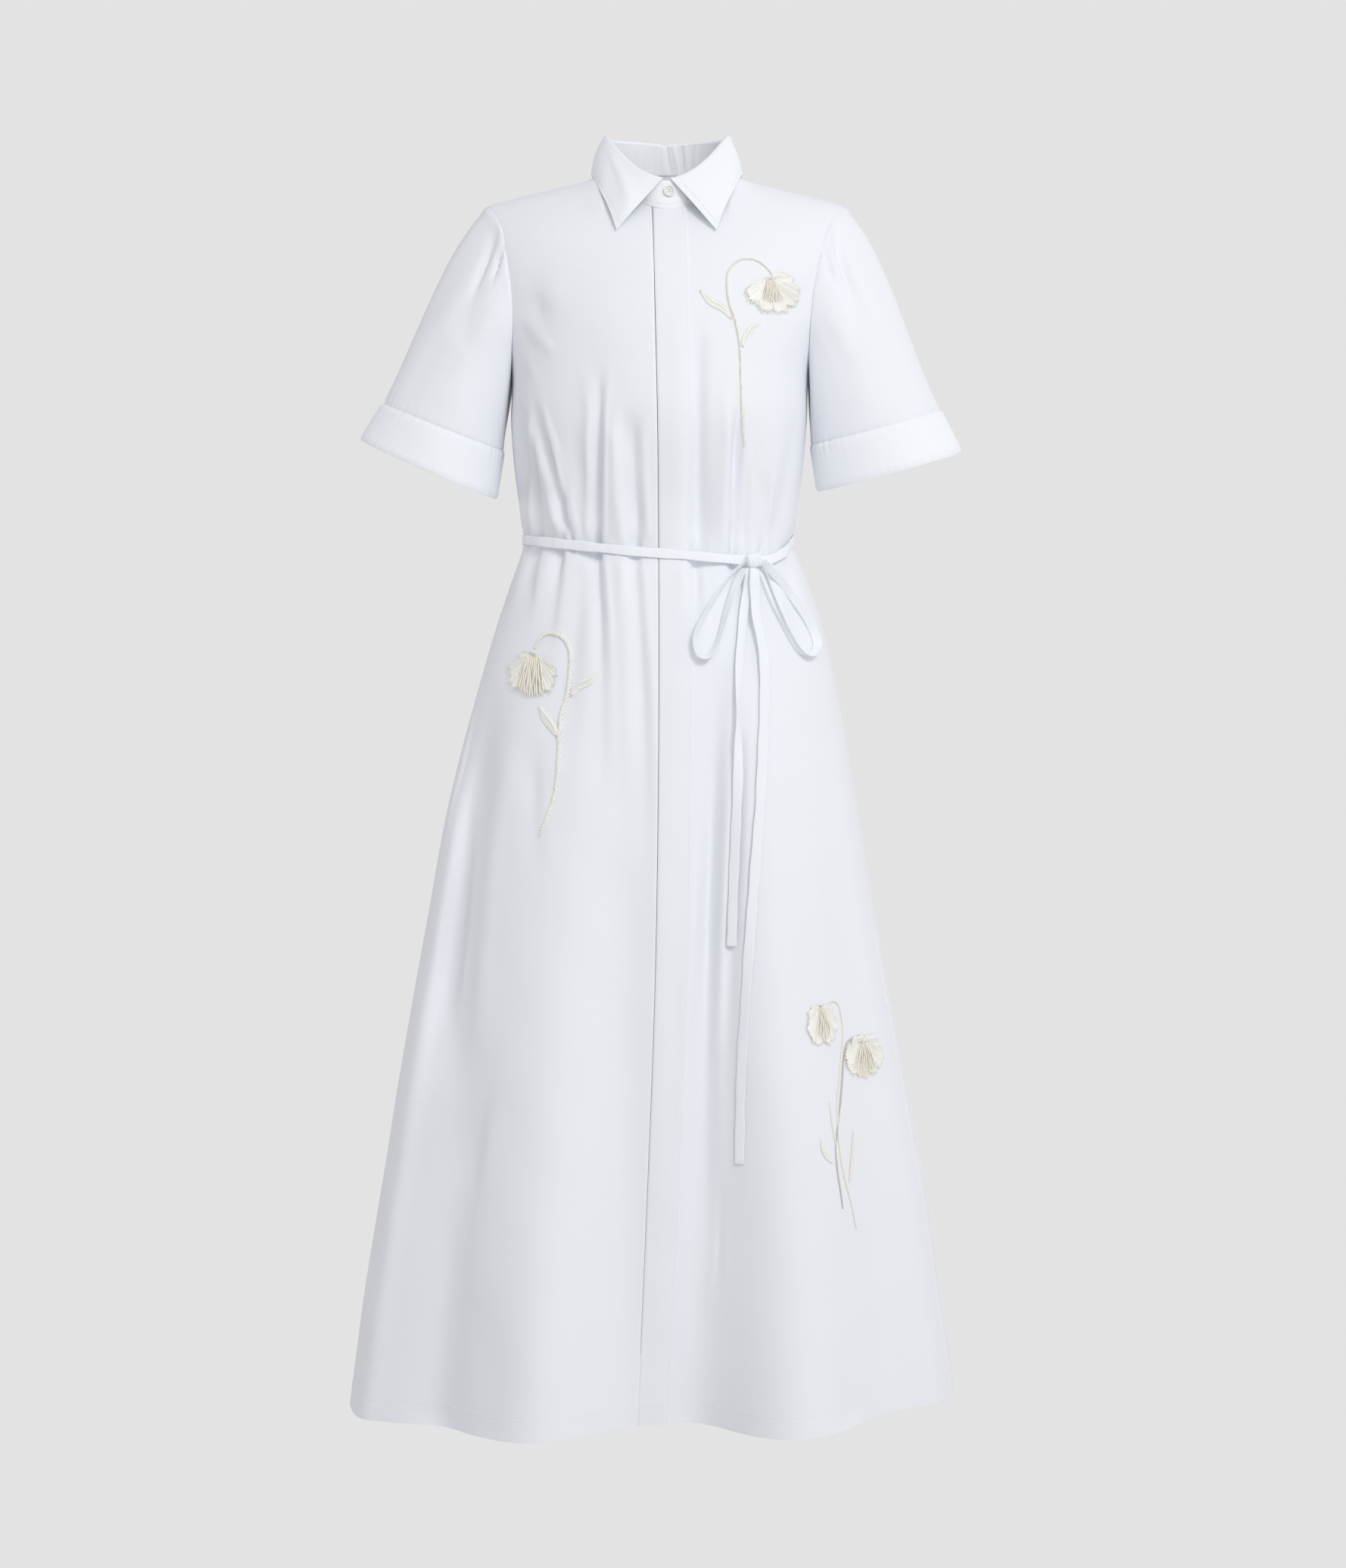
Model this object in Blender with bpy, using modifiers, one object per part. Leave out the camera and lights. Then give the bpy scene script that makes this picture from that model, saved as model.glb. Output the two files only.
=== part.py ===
"""Shirt dress with a concealed placket, short cuffed sleeves, a narrow tie belt and raised flower sprigs.

Metres, +Z up, the front faces -Y. The origin lies midway between the shoulders, where a wearer holds it up.
Sides are named after the wearer, so the right front is on -X.
"""

import math
from collections import namedtuple

import bmesh
import bpy
import numpy as np
from mathutils import Vector
from mathutils.bvhtree import BVHTree

# ---- Driving sizes ----
cloth_wall = 0.0012
seam_gap = 0.0004
hem_height = -1.234
underarm_height = -0.190
shoulder_reach = 0.180
shoulder_drop = -0.0195
shoulder_round = 0.065
ridge_depth = 0.006
neck_half_width = 0.064
neck_side_height = 0.014
front_neck_drop = 0.050
back_neck_drop = -0.008
placket_width = 0.034
placket_lift = 0.0018
underlap = 0.004
collar_wall = 0.0013
stand_lap = 0.0019
button_radius = 0.0057
button_gap = 0.0012
button_inset = 0.0012
stand_slope = 4
stand_gap = 0.0013
belt_width = 0.0098
belt_wall = 0.0012
laid_gap = 0.0009
knot_angle = math.radians(37.5)
knot_out = 0.0068
knot_cage = (0.0225, 0.0130, 0.0200)
petal_gap = 0.0005
centre_half_depth = 0.0022
centre_out = 0.0052
cuff_depth = 0.048

# ---- Grid counts ----
front_columns = 16
neck_columns = 6
back_columns = 26
back_neck_columns = 10
armhole_rows = 10
sleeve_rows = 8
belt_columns = 60

# Rings of the body: half width to each side of the centre, depths to the front and the back,
# sideways centre, and squareness (2 is an ellipse).
Section = namedtuple("Section", "height half_width front back centre square")
sections = (
    Section(-1.234, 0.307, 0.205, 0.222, -0.009, 2.0),
    Section(-1.120, 0.291, 0.197, 0.214, -0.010, 2.0),
    Section(-0.997, 0.272, 0.186, 0.203, -0.009, 2.0),
    Section(-0.874, 0.250, 0.174, 0.192, -0.011, 2.0),
    Section(-0.751, 0.228, 0.161, 0.180, -0.011, 2.0),
    Section(-0.627, 0.206, 0.147, 0.166, -0.010, 2.05),
    Section(-0.504, 0.179, 0.129, 0.144, -0.005, 2.1),
    Section(-0.443, 0.163, 0.118, 0.126, -0.003, 2.15),
    Section(-0.410, 0.152, 0.110, 0.112, -0.003, 2.2),
    Section(-0.372, 0.139, 0.101, 0.096, -0.004, 2.2),
    Section(-0.335, 0.1405, 0.104, 0.094, -0.0035, 2.25),
    Section(-0.295, 0.1455, 0.113, 0.098, -0.0035, 2.3),
    Section(-0.243, 0.1495, 0.123, 0.103, -0.0035, 2.3),
    Section(-0.190, 0.1515, 0.119, 0.107, -0.002, 2.3),
    Section(-0.143, 0.166, 0.110, 0.106, -0.001, 2.3),
    Section(-0.109, 0.178, 0.098, 0.102, 0.0, 2.3),
    Section(-0.075, 0.188, 0.084, 0.095, 0.001, 2.3),
    Section(-0.036, 0.198, 0.067, 0.080, 0.003, 2.3),
    Section(0.000, 0.208, 0.061, 0.068, 0.0045, 2.3),
    Section(0.030, 0.215, 0.058, 0.062, 0.0045, 2.3),
)

# Where the armhole's edge lies, out from the body's centre.
Armhole = namedtuple("Armhole", "height reach")
armholes = (
    Armhole(-0.190, 0.1515),
    Armhole(-0.184, 0.1503),
    Armhole(-0.168, 0.1495),
    Armhole(-0.143, 0.1495),
    Armhole(-0.109, 0.1520),
    Armhole(-0.075, 0.1575),
    Armhole(-0.047, 0.1640),
    Armhole(-0.0195, 0.1800),
)

# The shoulder seam's height, out from the body's centre.
Shoulder = namedtuple("Shoulder", "reach height")
shoulders = (
    Shoulder(0.064, 0.014),
    Shoulder(0.080, 0.0065),
    Shoulder(0.111, -0.002),
    Shoulder(0.148, -0.0105),
    Shoulder(0.180, -0.0195),
)

# The placket's visible fold, which sways a little down the front.
Fly = namedtuple("Fly", "height x")
flies = (
    Fly(-1.235, -0.0255),
    Fly(-1.050, -0.0165),
    Fly(-0.800, -0.0065),
    Fly(-0.600, -0.0035),
    Fly(-0.385, -0.0035),
    Fly(-0.250, -0.0045),
    Fly(-0.120, -0.0075),
    Fly(0.000, -0.0105),
)

# The belt dips from the sides towards its knot. Angles run from the front, + towards the wearer's left.
Dip = namedtuple("Dip", "angle height")
dips = (
    Dip(-180, -0.358),
    Dip(-120, -0.359),
    Dip(-80, -0.362),
    Dip(-40, -0.371),
    Dip(0, -0.3815),
    Dip(30, -0.387),
    Dip(42, -0.388),
    Dip(62, -0.378),
    Dip(80, -0.364),
    Dip(120, -0.359),
    Dip(180, -0.358),
)

# The hem rides up a little at the placket and on the wearer's left.
Hem = namedtuple("Hem", "angle lift")
hems = (
    Hem(-180, 0.004),
    Hem(-110, 0.002),
    Hem(-60, 0.001),
    Hem(-22, 0.000),
    Hem(-6, 0.004),
    Hem(8, 0.006),
    Hem(20, 0.001),
    Hem(34, 0.003),
    Hem(50, 0.010),
    Hem(70, 0.016),
    Hem(90, 0.017),
    Hem(120, 0.012),
    Hem(150, 0.006),
    Hem(180, 0.004),
)

back_hitch_height = 0.022

# Soft ridges (+) and troughs (-) in the cloth: angle at the top and the bottom, depth and angular spread,
# and the heights it runs between. deep_end says which end is the deep one.
Fold = namedtuple("Fold", "name top_angle foot_angle depth spread top foot deep_end")
folds = (
    # Skirt, front.
    Fold("side front trough", -58, -45, -0.026, 8, -0.46, -1.30, "foot"),
    Fold("right front swell", -28, -20, 0.026, 8, -0.50, -1.30, "foot"),
    Fold("placket hollow", -6, -5, -0.044, 6.5, -0.48, -1.30, "foot"),
    Fold("deep left trough", 18, 9, -0.056, 6.5, -0.40, -1.30, "foot"),
    Fold("left front swell", 33, 25, 0.020, 9, -0.42, -1.30, "foot"),
    Fold("left side trough", 60, 50, -0.022, 9, -0.50, -1.30, "foot"),
    # Skirt, back.
    Fold("back left trough", 118, 112, -0.022, 9, -0.45, -1.30, "foot"),
    Fold("back left swell", 134, 131, 0.018, 9, -0.50, -1.30, "foot"),
    Fold("back inner trough", 152, 150, -0.030, 8, -0.44, -1.30, "foot"),
    Fold("back middle swell", 176, 172, 0.020, 11, -0.46, -1.30, "foot"),
    Fold("back inner trough", 200, 199, -0.026, 9, -0.42, -1.30, "foot"),
    Fold("back right swell", 222, 223, 0.017, 10, -0.52, -1.30, "foot"),
    Fold("back right trough", 241, 244, -0.020, 8, -0.43, -1.30, "foot"),
    # Gathers that fan down from the belt.
    Fold("gather", -62, -60, -0.0070, 4.2, -0.36, -0.46, "top"),
    Fold("gather", -44, -43, -0.0075, 4.4, -0.36, -0.50, "top"),
    Fold("gather", -28, -26, -0.0105, 4.4, -0.36, -0.60, "top"),
    Fold("gather", 19, 18, -0.0070, 4.4, -0.36, -0.48, "top"),
    Fold("gather", 34, 26, -0.0115, 4.8, -0.36, -0.62, "top"),
    Fold("gather", 60, 56, -0.0075, 4.4, -0.36, -0.50, "top"),
    Fold("gather", 112, 114, -0.0085, 4.6, -0.34, -0.52, "top"),
    Fold("gather", 136, 139, -0.0100, 4.6, -0.34, -0.56, "top"),
    Fold("gather", 163, 161, -0.0095, 4.6, -0.34, -0.50, "top"),
    Fold("gather", 186, 187, -0.0105, 4.6, -0.34, -0.58, "top"),
    Fold("gather", 212, 209, -0.0085, 4.6, -0.34, -0.52, "top"),
    Fold("gather", 238, 235, -0.0095, 4.6, -0.34, -0.54, "top"),
    # Bodice folds that run down into the belt.
    Fold("dart fold", -74, -48, -0.0085, 5.0, -0.20, -0.40, "foot"),
    Fold("long bodice fold", -29, -27, -0.0125, 4.6, -0.20, -0.40, "foot"),
    Fold("placket fold", -7, -6, -0.0060, 4.2, -0.24, -0.40, "foot"),
    Fold("inner left fold", 14, 17, -0.0105, 4.8, -0.17, -0.40, "foot"),
    Fold("outer left fold", 36, 36, -0.0105, 4.8, -0.21, -0.40, "foot"),
    Fold("left dart fold", 66, 54, -0.0075, 5.0, -0.22, -0.40, "foot"),
    Fold("back bodice fold", 118, 122, -0.0085, 5.0, -0.19, -0.40, "foot"),
    Fold("back bodice fold", 147, 149, -0.0110, 5.0, -0.16, -0.40, "foot"),
    Fold("back bodice fold", 177, 174, -0.0100, 5.0, -0.14, -0.40, "foot"),
    Fold("back bodice fold", 205, 200, -0.0110, 5.0, -0.18, -0.40, "foot"),
    Fold("back bodice fold", 236, 233, -0.0085, 5.0, -0.19, -0.40, "foot"),
)

# The rows of the grid: first by height, then by distance from the belt's line, then by height again.
skirt_rows = (-1.160, -1.085, -1.010, -0.935, -0.860, -0.785, -0.715, -0.650, -0.590, -0.535, -0.487, -0.448)
belt_rows = (-0.034, -0.015, -0.0055, 0.0055, 0.015, 0.034)
chest_rows = (-0.312, -0.276, -0.238, -0.190)
lower_count = 1 + len(skirt_rows) + len(belt_rows) + len(chest_rows)


def glide(table, column, at):
    """A smooth curve through one named column of a table, whose first column is the station."""
    stations = np.array([row[0] for row in table], float)
    values = np.array([getattr(row, column) for row in table], float)
    slopes = np.gradient(values, stations)
    at = np.clip(at, stations[0], stations[-1])
    index = np.clip(np.searchsorted(stations, at) - 1, 0, len(stations) - 2)
    step = stations[index + 1] - stations[index]
    t = (at - stations[index]) / step
    start = (1 + 2 * t) * (1 - t) ** 2 * values[index] + t * (1 - t) ** 2 * step * slopes[index]
    finish = t**2 * (3 - 2 * t) * values[index + 1] - t**2 * (1 - t) * step * slopes[index + 1]
    return start + finish


def ease(value, start, end):
    """0 before start, 1 after end, smooth between."""
    t = np.clip((value - start) / (end - start), 0.0, 1.0)
    return t * t * (3 - 2 * t)


def unit(vectors):
    return vectors / np.maximum(np.linalg.norm(vectors, axis=-1, keepdims=True), 1e-12)


def belt_line(angle):
    turned = (np.degrees(angle) + 180) % 360 - 180
    return glide(dips, "height", turned)


def fold_lift(angle, height):
    """How far the folds move the cloth out at this angle and height. The belt presses them flat."""
    degrees = np.degrees(angle)
    total = np.zeros(np.broadcast(angle, height).shape)
    for fold in folds:
        run = np.clip((fold.top - height) / (fold.top - fold.foot), 0.0, 1.0)
        middle = fold.top_angle + (fold.foot_angle - fold.top_angle) * run
        away = (degrees - middle + 180) % 360 - 180
        depth = run**1.15 if fold.deep_end == "foot" else (1 - run) ** 1.3 * ease(run, -0.001, 0.02)
        inside = (height <= fold.top) & (height >= fold.foot)
        total += np.where(inside, fold.depth * depth * np.exp(-0.5 * (away / fold.spread) ** 2), 0.0)
    from_belt = height - belt_line(angle)
    flat = ease(np.abs(from_belt), 0.006, 0.030)
    below_belt = from_belt < 0
    bodice_only = np.where(below_belt, 1.0, flat)
    skirt_only = np.where(below_belt, flat, 1.0)
    nip = -0.0022 * np.exp(-((from_belt / 0.014) ** 2))
    return total * bodice_only * skirt_only + nip


def outward_at(angle, height):
    sine = np.sin(angle) / glide(sections, "half_width", height)
    depth = np.where(np.cos(angle) > 0, glide(sections, "front", height), glide(sections, "back", height))
    direction = np.stack([sine, -np.cos(angle) / depth, np.zeros_like(sine)], axis=-1)
    return unit(direction)


def ring(angle, height, lift=0.0):
    """Points on the body below the underarm."""
    angle, height = np.broadcast_arrays(np.asarray(angle, float), np.asarray(height, float))
    power = 2 / glide(sections, "square", height)
    sine, cosine = np.sin(angle), np.cos(angle)
    depth = np.where(cosine > 0, glide(sections, "front", height), glide(sections, "back", height))
    half_width = glide(sections, "half_width", height)
    x = glide(sections, "centre", height) + half_width * np.sign(sine) * np.abs(sine) ** power
    y = -depth * np.sign(cosine) * np.abs(cosine) ** power
    points = np.stack([x, y, height], axis=-1)
    return points + (fold_lift(angle, height) + lift)[..., None] * outward_at(angle, height)


def angle_of(x, height, reach=None):
    """The ring angle, on the front, at which the body is this far across."""
    reach = glide(sections, "half_width", height) if reach is None else reach
    span = np.clip((x - glide(sections, "centre", height)) / reach, -1, 1)
    return np.arcsin(np.sign(span) * np.abs(span) ** (glide(sections, "square", height) / 2))


def rim_height(across, neck_drop):
    """Height of the neckline, and past it of the shoulder seam, at a distance from the centre."""
    neck = neck_side_height - neck_drop * (1 - np.clip(across / neck_half_width, 0, 1) ** 2)
    return np.where(across < neck_half_width, neck, glide(shoulders, "height", across))


def yoke(x, height, face, lift=0.0):
    """Points on the body above the underarm. face is -1 on the front and 1 on the back."""
    centre = glide(sections, "centre", height)
    half_width = glide(sections, "half_width", height)
    square = glide(sections, "square", height)
    across = np.abs(x - centre)
    span = np.clip(across / half_width, 0, 1)
    depth = glide(sections, "front" if face < 0 else "back", height)
    flat = depth * (1 - span**square) ** (1 / square)
    neck_drop = front_neck_drop if face < 0 else back_neck_drop
    below = np.maximum(rim_height(across, neck_drop) - height, 0) / shoulder_round
    down = np.clip(np.maximum(1 - across / neck_half_width, 0) + below, 0, 1)
    bow = np.sqrt(np.maximum(1 - (1 - down) ** 2, 0))
    y = ridge_depth + face * seam_gap / 2 + bow * (face * flat - ridge_depth)
    angle = np.arcsin(np.sign(x - centre) * span ** (square / 2))
    angle = np.where(face < 0, angle, np.pi - angle)
    out = (fold_lift(angle, height) + lift)[..., None] * outward_at(angle, height)
    return np.stack([x, y, height], axis=-1) + out


def armhole_heights():
    """Heights down the armhole, closer together where it curves under the arm."""
    steps = np.linspace(0, 1, armhole_rows + 1)
    return underarm_height + (shoulder_drop - underarm_height) * (0.45 * steps**2 + 0.55 * steps)


def lower_heights(angle):
    """One height a row from the hem to the underarm, for a column at this angle."""
    line = belt_line(angle)
    hem = hem_height + hem_lift(angle)
    return [hem, *skirt_rows, *(line + offset for offset in belt_rows), *chest_rows]


def hem_lift(angle):
    """How far the hem rides over its lowest line."""
    turned = (np.degrees(angle) + 180) % 360 - 180
    return glide(hems, "lift", turned)


def back_hitch(angle):
    """The back hem sits higher than the front's beside the wearer's left seam."""
    return back_hitch_height * (1 - ease(np.degrees(angle), 96, 125))


def front_grid(side, edge_x, edge_gap, lift):
    """Rows of a front, from its inner edge to the side seam or armhole. edge_x and lift are functions."""
    fraction = np.linspace(0, 1, front_columns + 1)
    side_angle = side * side_seam_angle(side)
    rows = []
    for row in range(lower_count):
        angle = np.full(front_columns + 1, side_angle)
        for _ in range(3):
            height = np.array([lower_heights(a)[row] for a in angle])
            start = angle_of(edge_x(height[0]) + edge_gap, height[0])
            angle = start + (side_angle - start) * fraction
        rows.append(ring(angle, height, lift(angle, height)))
        rows[-1][-1, 1] -= seam_gap / 2
    rows.extend(upper_rows(side, -1, edge_x, edge_gap, fraction, lift))
    return np.array(rows)


def side_seam_angle(side):
    return math.radians(86 if side > 0 else 90)


def top_across(fraction, neck_share, start):
    """How far across the neckline and the shoulder seam each column ends."""
    sweep = start + (math.pi / 2 - start) * np.clip(fraction / neck_share, 0, 1)
    neck = neck_half_width * np.sin(sweep)
    along = (fraction - neck_share) / (1 - neck_share)
    shoulder = neck_half_width + (shoulder_reach - neck_half_width) * along
    return np.where(fraction <= neck_share, neck, shoulder)


def upper_rows(side, face, edge_x, edge_gap, fraction, lift):
    """Rows of one front above the underarm."""
    heights = armhole_heights()
    share = neck_columns / front_columns
    rows = []
    for height in heights[1:]:
        rise = (height - underarm_height) / (shoulder_drop - underarm_height)
        reach = glide(armholes, "reach", height)
        middle = glide(sections, "centre", height)
        inner = side * (edge_x(height) + edge_gap - middle)
        start = math.asin(np.clip(inner / neck_half_width, -1, 1))
        top = top_across(fraction, share, start)
        low_start = side * angle_of(edge_x(height) + edge_gap, height, reach)
        low_angle = low_start + (math.pi / 2 - low_start) * fraction
        power = 2 / glide(sections, "square", height)
        low = reach * np.sign(low_angle) * np.abs(np.sin(low_angle)) ** power
        blend = rise**1.3
        across = (1 - blend) * low + blend * top * reach / shoulder_reach
        across = np.where(rise > 0.999, top, across)
        target = rim_height(np.abs(top), front_neck_drop)
        z = underarm_height + (target - underarm_height) * rise
        x = glide(sections, "centre", z) + side * across
        x[-1] = middle + side * reach
        angle = side * np.abs(angle_of(x, z))
        rows.append(yoke(x, z, face, lift(angle, z)))
    return rows


def back_grid():
    """Rows of the back, from the wearer's left seam round to the right one."""
    fraction = np.linspace(0, 1, back_columns + 1)
    start = side_seam_angle(1)
    end = 2 * math.pi - side_seam_angle(-1)
    angle = start + (end - start) * fraction
    rows = []
    for row in range(lower_count):
        height = np.array([lower_heights(a)[row] for a in angle])
        if row == 0:
            height = height + back_hitch(angle)
        points = ring(angle, height)
        points[[0, -1], 1] += seam_gap / 2
        rows.append(points)
    sides = 1 - 2 * fraction
    shoulder_columns = (back_columns - back_neck_columns) // 2
    share = back_neck_columns / back_columns
    sweep = np.clip(sides / share, -1, 1) * math.pi / 2
    along = np.clip((np.abs(sides) - share) / (1 - share), 0, 1)
    top = np.where(np.abs(sides) <= share, neck_half_width * np.sin(sweep), 0)
    beyond = np.sign(sides) * (neck_half_width + (shoulder_reach - neck_half_width) * along)
    top = np.where(np.abs(sides) > share, beyond, top)
    top[shoulder_columns] = neck_half_width
    top[back_columns - shoulder_columns] = -neck_half_width
    for height in armhole_heights()[1:]:
        rise = (height - underarm_height) / (shoulder_drop - underarm_height)
        reach = glide(armholes, "reach", height)
        power = 2 / glide(sections, "square", height)
        low_angle = sides * math.pi / 2
        low = reach * np.sign(sides) * np.abs(np.sin(low_angle)) ** power
        blend = rise**1.3
        across = (1 - blend) * low + blend * top * reach / shoulder_reach
        across = np.where(rise > 0.999, top, across)
        z = underarm_height + (rim_height(np.abs(top), back_neck_drop) - underarm_height) * rise
        x = glide(sections, "centre", z) + across
        middle = glide(sections, "centre", height)
        x[0] = middle + reach
        x[-1] = middle - reach
        rows.append(yoke(x, z, 1))
    return np.array(rows)


def placket_edge(height):
    return glide(flies, "x", height)


def right_lift(angle, height):
    """The right front stands out beside the placket, so that the two lie flush over the left front."""
    edge = angle_of(placket_edge(height), height)
    return placket_lift * (1 - ease(edge - angle, math.radians(4), math.radians(32)))


def no_lift(angle, height):
    return np.zeros(np.broadcast(angle, height).shape)


def placket_grid():
    columns = 4
    fraction = np.linspace(0, 1, columns + 1)
    rows = []
    for row in range(lower_count):
        angle = np.zeros(columns + 1)
        for _ in range(3):
            height = np.array([lower_heights(a)[row] for a in angle])
            x = placket_edge(height[0]) + seam_gap + placket_width * fraction
            angle = angle_of(x, height)
        rows.append(ring(angle, height, placket_lift))
    for height in armhole_heights()[1:]:
        rise = (height - underarm_height) / (shoulder_drop - underarm_height)
        x = placket_edge(underarm_height + 0.15 * rise) + seam_gap + placket_width * fraction
        across = np.abs(x - glide(sections, "centre", neck_side_height - front_neck_drop))
        z = underarm_height + (rim_height(across, front_neck_drop) - underarm_height) * rise
        rows.append(yoke(x, z, -1, np.full(columns + 1, placket_lift)))
    return np.array(rows)


# ---- Shapes ----
def grid_normals(points, around=False):
    """Unit normals of a grid of points, rows first."""
    if around:
        across = np.roll(points, -1, axis=1) - np.roll(points, 1, axis=1)
    else:
        across = np.gradient(points, axis=1)
    along = np.gradient(points, axis=0)
    return unit(np.cross(across, along))


def split_cell(points, cell):
    """Two triangles along the cell's shorter diagonal, so that both faces of a wall fold the same way."""
    a, b, c, d = (points[place] for place in cell)
    if np.linalg.norm(c - a) <= np.linalg.norm(d - b):
        return [cell[0], cell[1], cell[2]], [cell[0], cell[2], cell[3]]
    return [cell[0], cell[1], cell[3]], [cell[1], cell[2], cell[3]]


def wall(name, points, thickness, material, around=False, outward=1, square=()):
    """A closed wall whose outer face is this grid. Each row in square is cut square to its direction."""
    normals = outward * grid_normals(points, around)
    for row, direction in square:
        direction = np.array(direction, float)
        part = normals[row] - (normals[row] @ direction)[..., None] * direction
        normals[row] = unit(part)
    inner = points - thickness * normals
    mesh = bmesh.new()
    layers = [[[mesh.verts.new(p) for p in row] for row in layer] for layer in (points, inner)]
    count_rows, count_columns = points.shape[:2]
    last = count_columns if around else count_columns - 1
    outer, inside = layers
    for i in range(count_rows - 1):
        for j in range(last):
            k = (j + 1) % count_columns
            cell = [(i, j), (i, k), (i + 1, k), (i + 1, j)]
            for corners in split_cell(points, cell):
                mesh.faces.new([outer[a][b] for a, b in corners])
                mesh.faces.new([inside[a][b] for a, b in corners[::-1]])
    for j in range(last):
        k = (j + 1) % count_columns
        mesh.faces.new([outer[0][k], outer[0][j], inside[0][j], inside[0][k]])
        mesh.faces.new([outer[-1][j], outer[-1][k], inside[-1][k], inside[-1][j]])
    if not around:
        for i in range(count_rows - 1):
            mesh.faces.new([outer[i][0], outer[i + 1][0], inside[i + 1][0], inside[i][0]])
            mesh.faces.new([outer[i + 1][-1], outer[i][-1], inside[i][-1], inside[i + 1][-1]])
    if mesh.calc_volume(signed=True) < 0:
        bmesh.ops.reverse_faces(mesh, faces=mesh.faces)
    return mesh_object(name, mesh, material)


def mesh_object(name, mesh, material):
    data = bpy.data.meshes.new(name)
    mesh.to_mesh(data)
    mesh.free()
    data.shade_smooth()
    data.set_sharp_from_angle(angle=math.radians(50))
    made = bpy.data.objects.new(name, data)
    made.data.materials.append(material)
    parts.objects.link(made)
    return made


def make_material(name, colour, roughness):
    material = bpy.data.materials.new(name)
    material.use_nodes = True
    shader = material.node_tree.nodes["Principled BSDF"]
    shader.inputs["Base Color"].default_value = (*colour, 1)
    shader.inputs["Roughness"].default_value = roughness
    shader.inputs["Metallic"].default_value = 0
    return material


# ---- Sleeves ----
# Ring at the cuff seam and at the hem: centre, half length across the arm, half depth, and the tilt of the
# long half, whose outer end is the higher one.
Cuff = namedtuple("Cuff", "side seam_x seam_z seam_half seam_tilt hem_x hem_z hem_half hem_tilt")
cuffs = {
    "right": Cuff(-1, -0.2220, -0.2460, 0.0650, 21.6, -0.2375, -0.2895, 0.0745, 23.7),
    "left": Cuff(1, 0.2165, -0.2470, 0.0675, 14.5, 0.2308, -0.2920, 0.0750, 15.4),
}
sleeve_middle_depth = -0.006
seam_half_depth = 0.057
cuff_front_drop = 0.007
hem_half_depth = 0.061

# Soft creases of a sleeve: angle round it (90 on top, 0 in front) and share of its length at both ends.
Crease = namedtuple("Crease", "start_angle end_angle start end depth spread")
creases = (
    Crease(62, 20, 0.02, 0.55, -0.0050, 15),
    Crease(35, 30, 0.30, 1.00, -0.0035, 14),
    Crease(-25, 5, 0.15, 0.80, -0.0030, 16),
    Crease(118, 150, 0.02, 0.60, -0.0050, 15),
    Crease(165, 150, 0.30, 1.00, -0.0035, 15),
    Crease(200, 185, 0.15, 0.80, -0.0030, 16),
)


def cuff_ring(cuff, angle, at_hem):
    x, z = (cuff.hem_x, cuff.hem_z) if at_hem else (cuff.seam_x, cuff.seam_z)
    half = cuff.hem_half if at_hem else cuff.seam_half
    tilt = math.radians(cuff.hem_tilt if at_hem else cuff.seam_tilt)
    depth = hem_half_depth if at_hem else seam_half_depth
    out = np.sin(angle) * half
    points = [
        x + cuff.side * out * math.cos(tilt),
        sleeve_middle_depth - np.cos(angle) * depth,
        z + out * math.sin(tilt) - np.cos(angle) * cuff_front_drop,
    ]
    return np.stack(points, axis=-1)


def clear_of_body(points, side, gap):
    """Moves points beside the body sideways until they stand clear of it."""
    height = points[..., 2]
    depth = np.where(points[..., 1] < 0, glide(sections, "front", height), glide(sections, "back", height))
    square = glide(sections, "square", height)
    inside = np.clip(1 - np.clip(np.abs(points[..., 1]) / depth, 0, 1) ** square, 0, 1)
    out = glide(sections, "half_width", height) * inside ** (1 / square)
    body = glide(sections, "centre", height) + side * out
    moved = side * np.maximum(side * points[..., 0], side * body + gap)
    return np.where(height < underarm_height, moved, points[..., 0])


def sleeve_grid(cuff, armhole, angle):
    """Rows from the armhole to the cuff seam. Lines leave the body outwards and join the cuff's axis."""
    rise = np.sin(angle)
    start = armhole.copy()
    start[:, 0] += cuff.side * (0.0006 + 0.0011 * np.maximum(rise, 0) ** 2)
    finish = cuff_ring(cuff, angle, False)
    leave = np.stack(
        [
            cuff.side * (0.05 + 0.70 * ease(rise, -1.0, -0.55)),
            -0.24 * np.cos(angle),
            0.35 * ease(rise, -1.0, -0.3) - 1.0,
        ],
        axis=-1,
    )
    first = start + unit(leave) * (0.038 + 0.018 * rise)[:, None]
    join = np.stack([cuff.side * (0.28 + 0.17 * rise), 0 * rise, -0.93 - 0 * rise], axis=-1)
    second = finish - unit(join) * (0.048 + 0.027 * rise)[:, None]
    rows = []
    for share in np.linspace(0, 1, sleeve_rows + 1):
        rows.append(
            (1 - share) ** 3 * start
            + 3 * share * (1 - share) ** 2 * first
            + 3 * share**2 * (1 - share) * second
            + share**3 * finish
        )
    rows = np.array(rows)
    normals = grid_normals(rows, True)
    degrees = np.degrees(angle)
    for index, share in enumerate(np.linspace(0, 1, sleeve_rows + 1)):
        push = np.zeros(len(angle))
        for crease in creases:
            run = (share - crease.start) / (crease.end - crease.start)
            if 0 < run < 1:
                middle = crease.start_angle + (crease.end_angle - crease.start_angle) * run
                away = (degrees - middle + 180) % 360 - 180
                push += crease.depth * math.sin(math.pi * run) * np.exp(-0.5 * (away / crease.spread) ** 2)
        rows[index] -= push[:, None] * normals[index] * cuff.side
        rows[index][:, 0] = clear_of_body(rows[index], cuff.side, 0.0007 + 0.0020 * min(share * 3, 1))
    return rows


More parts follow.
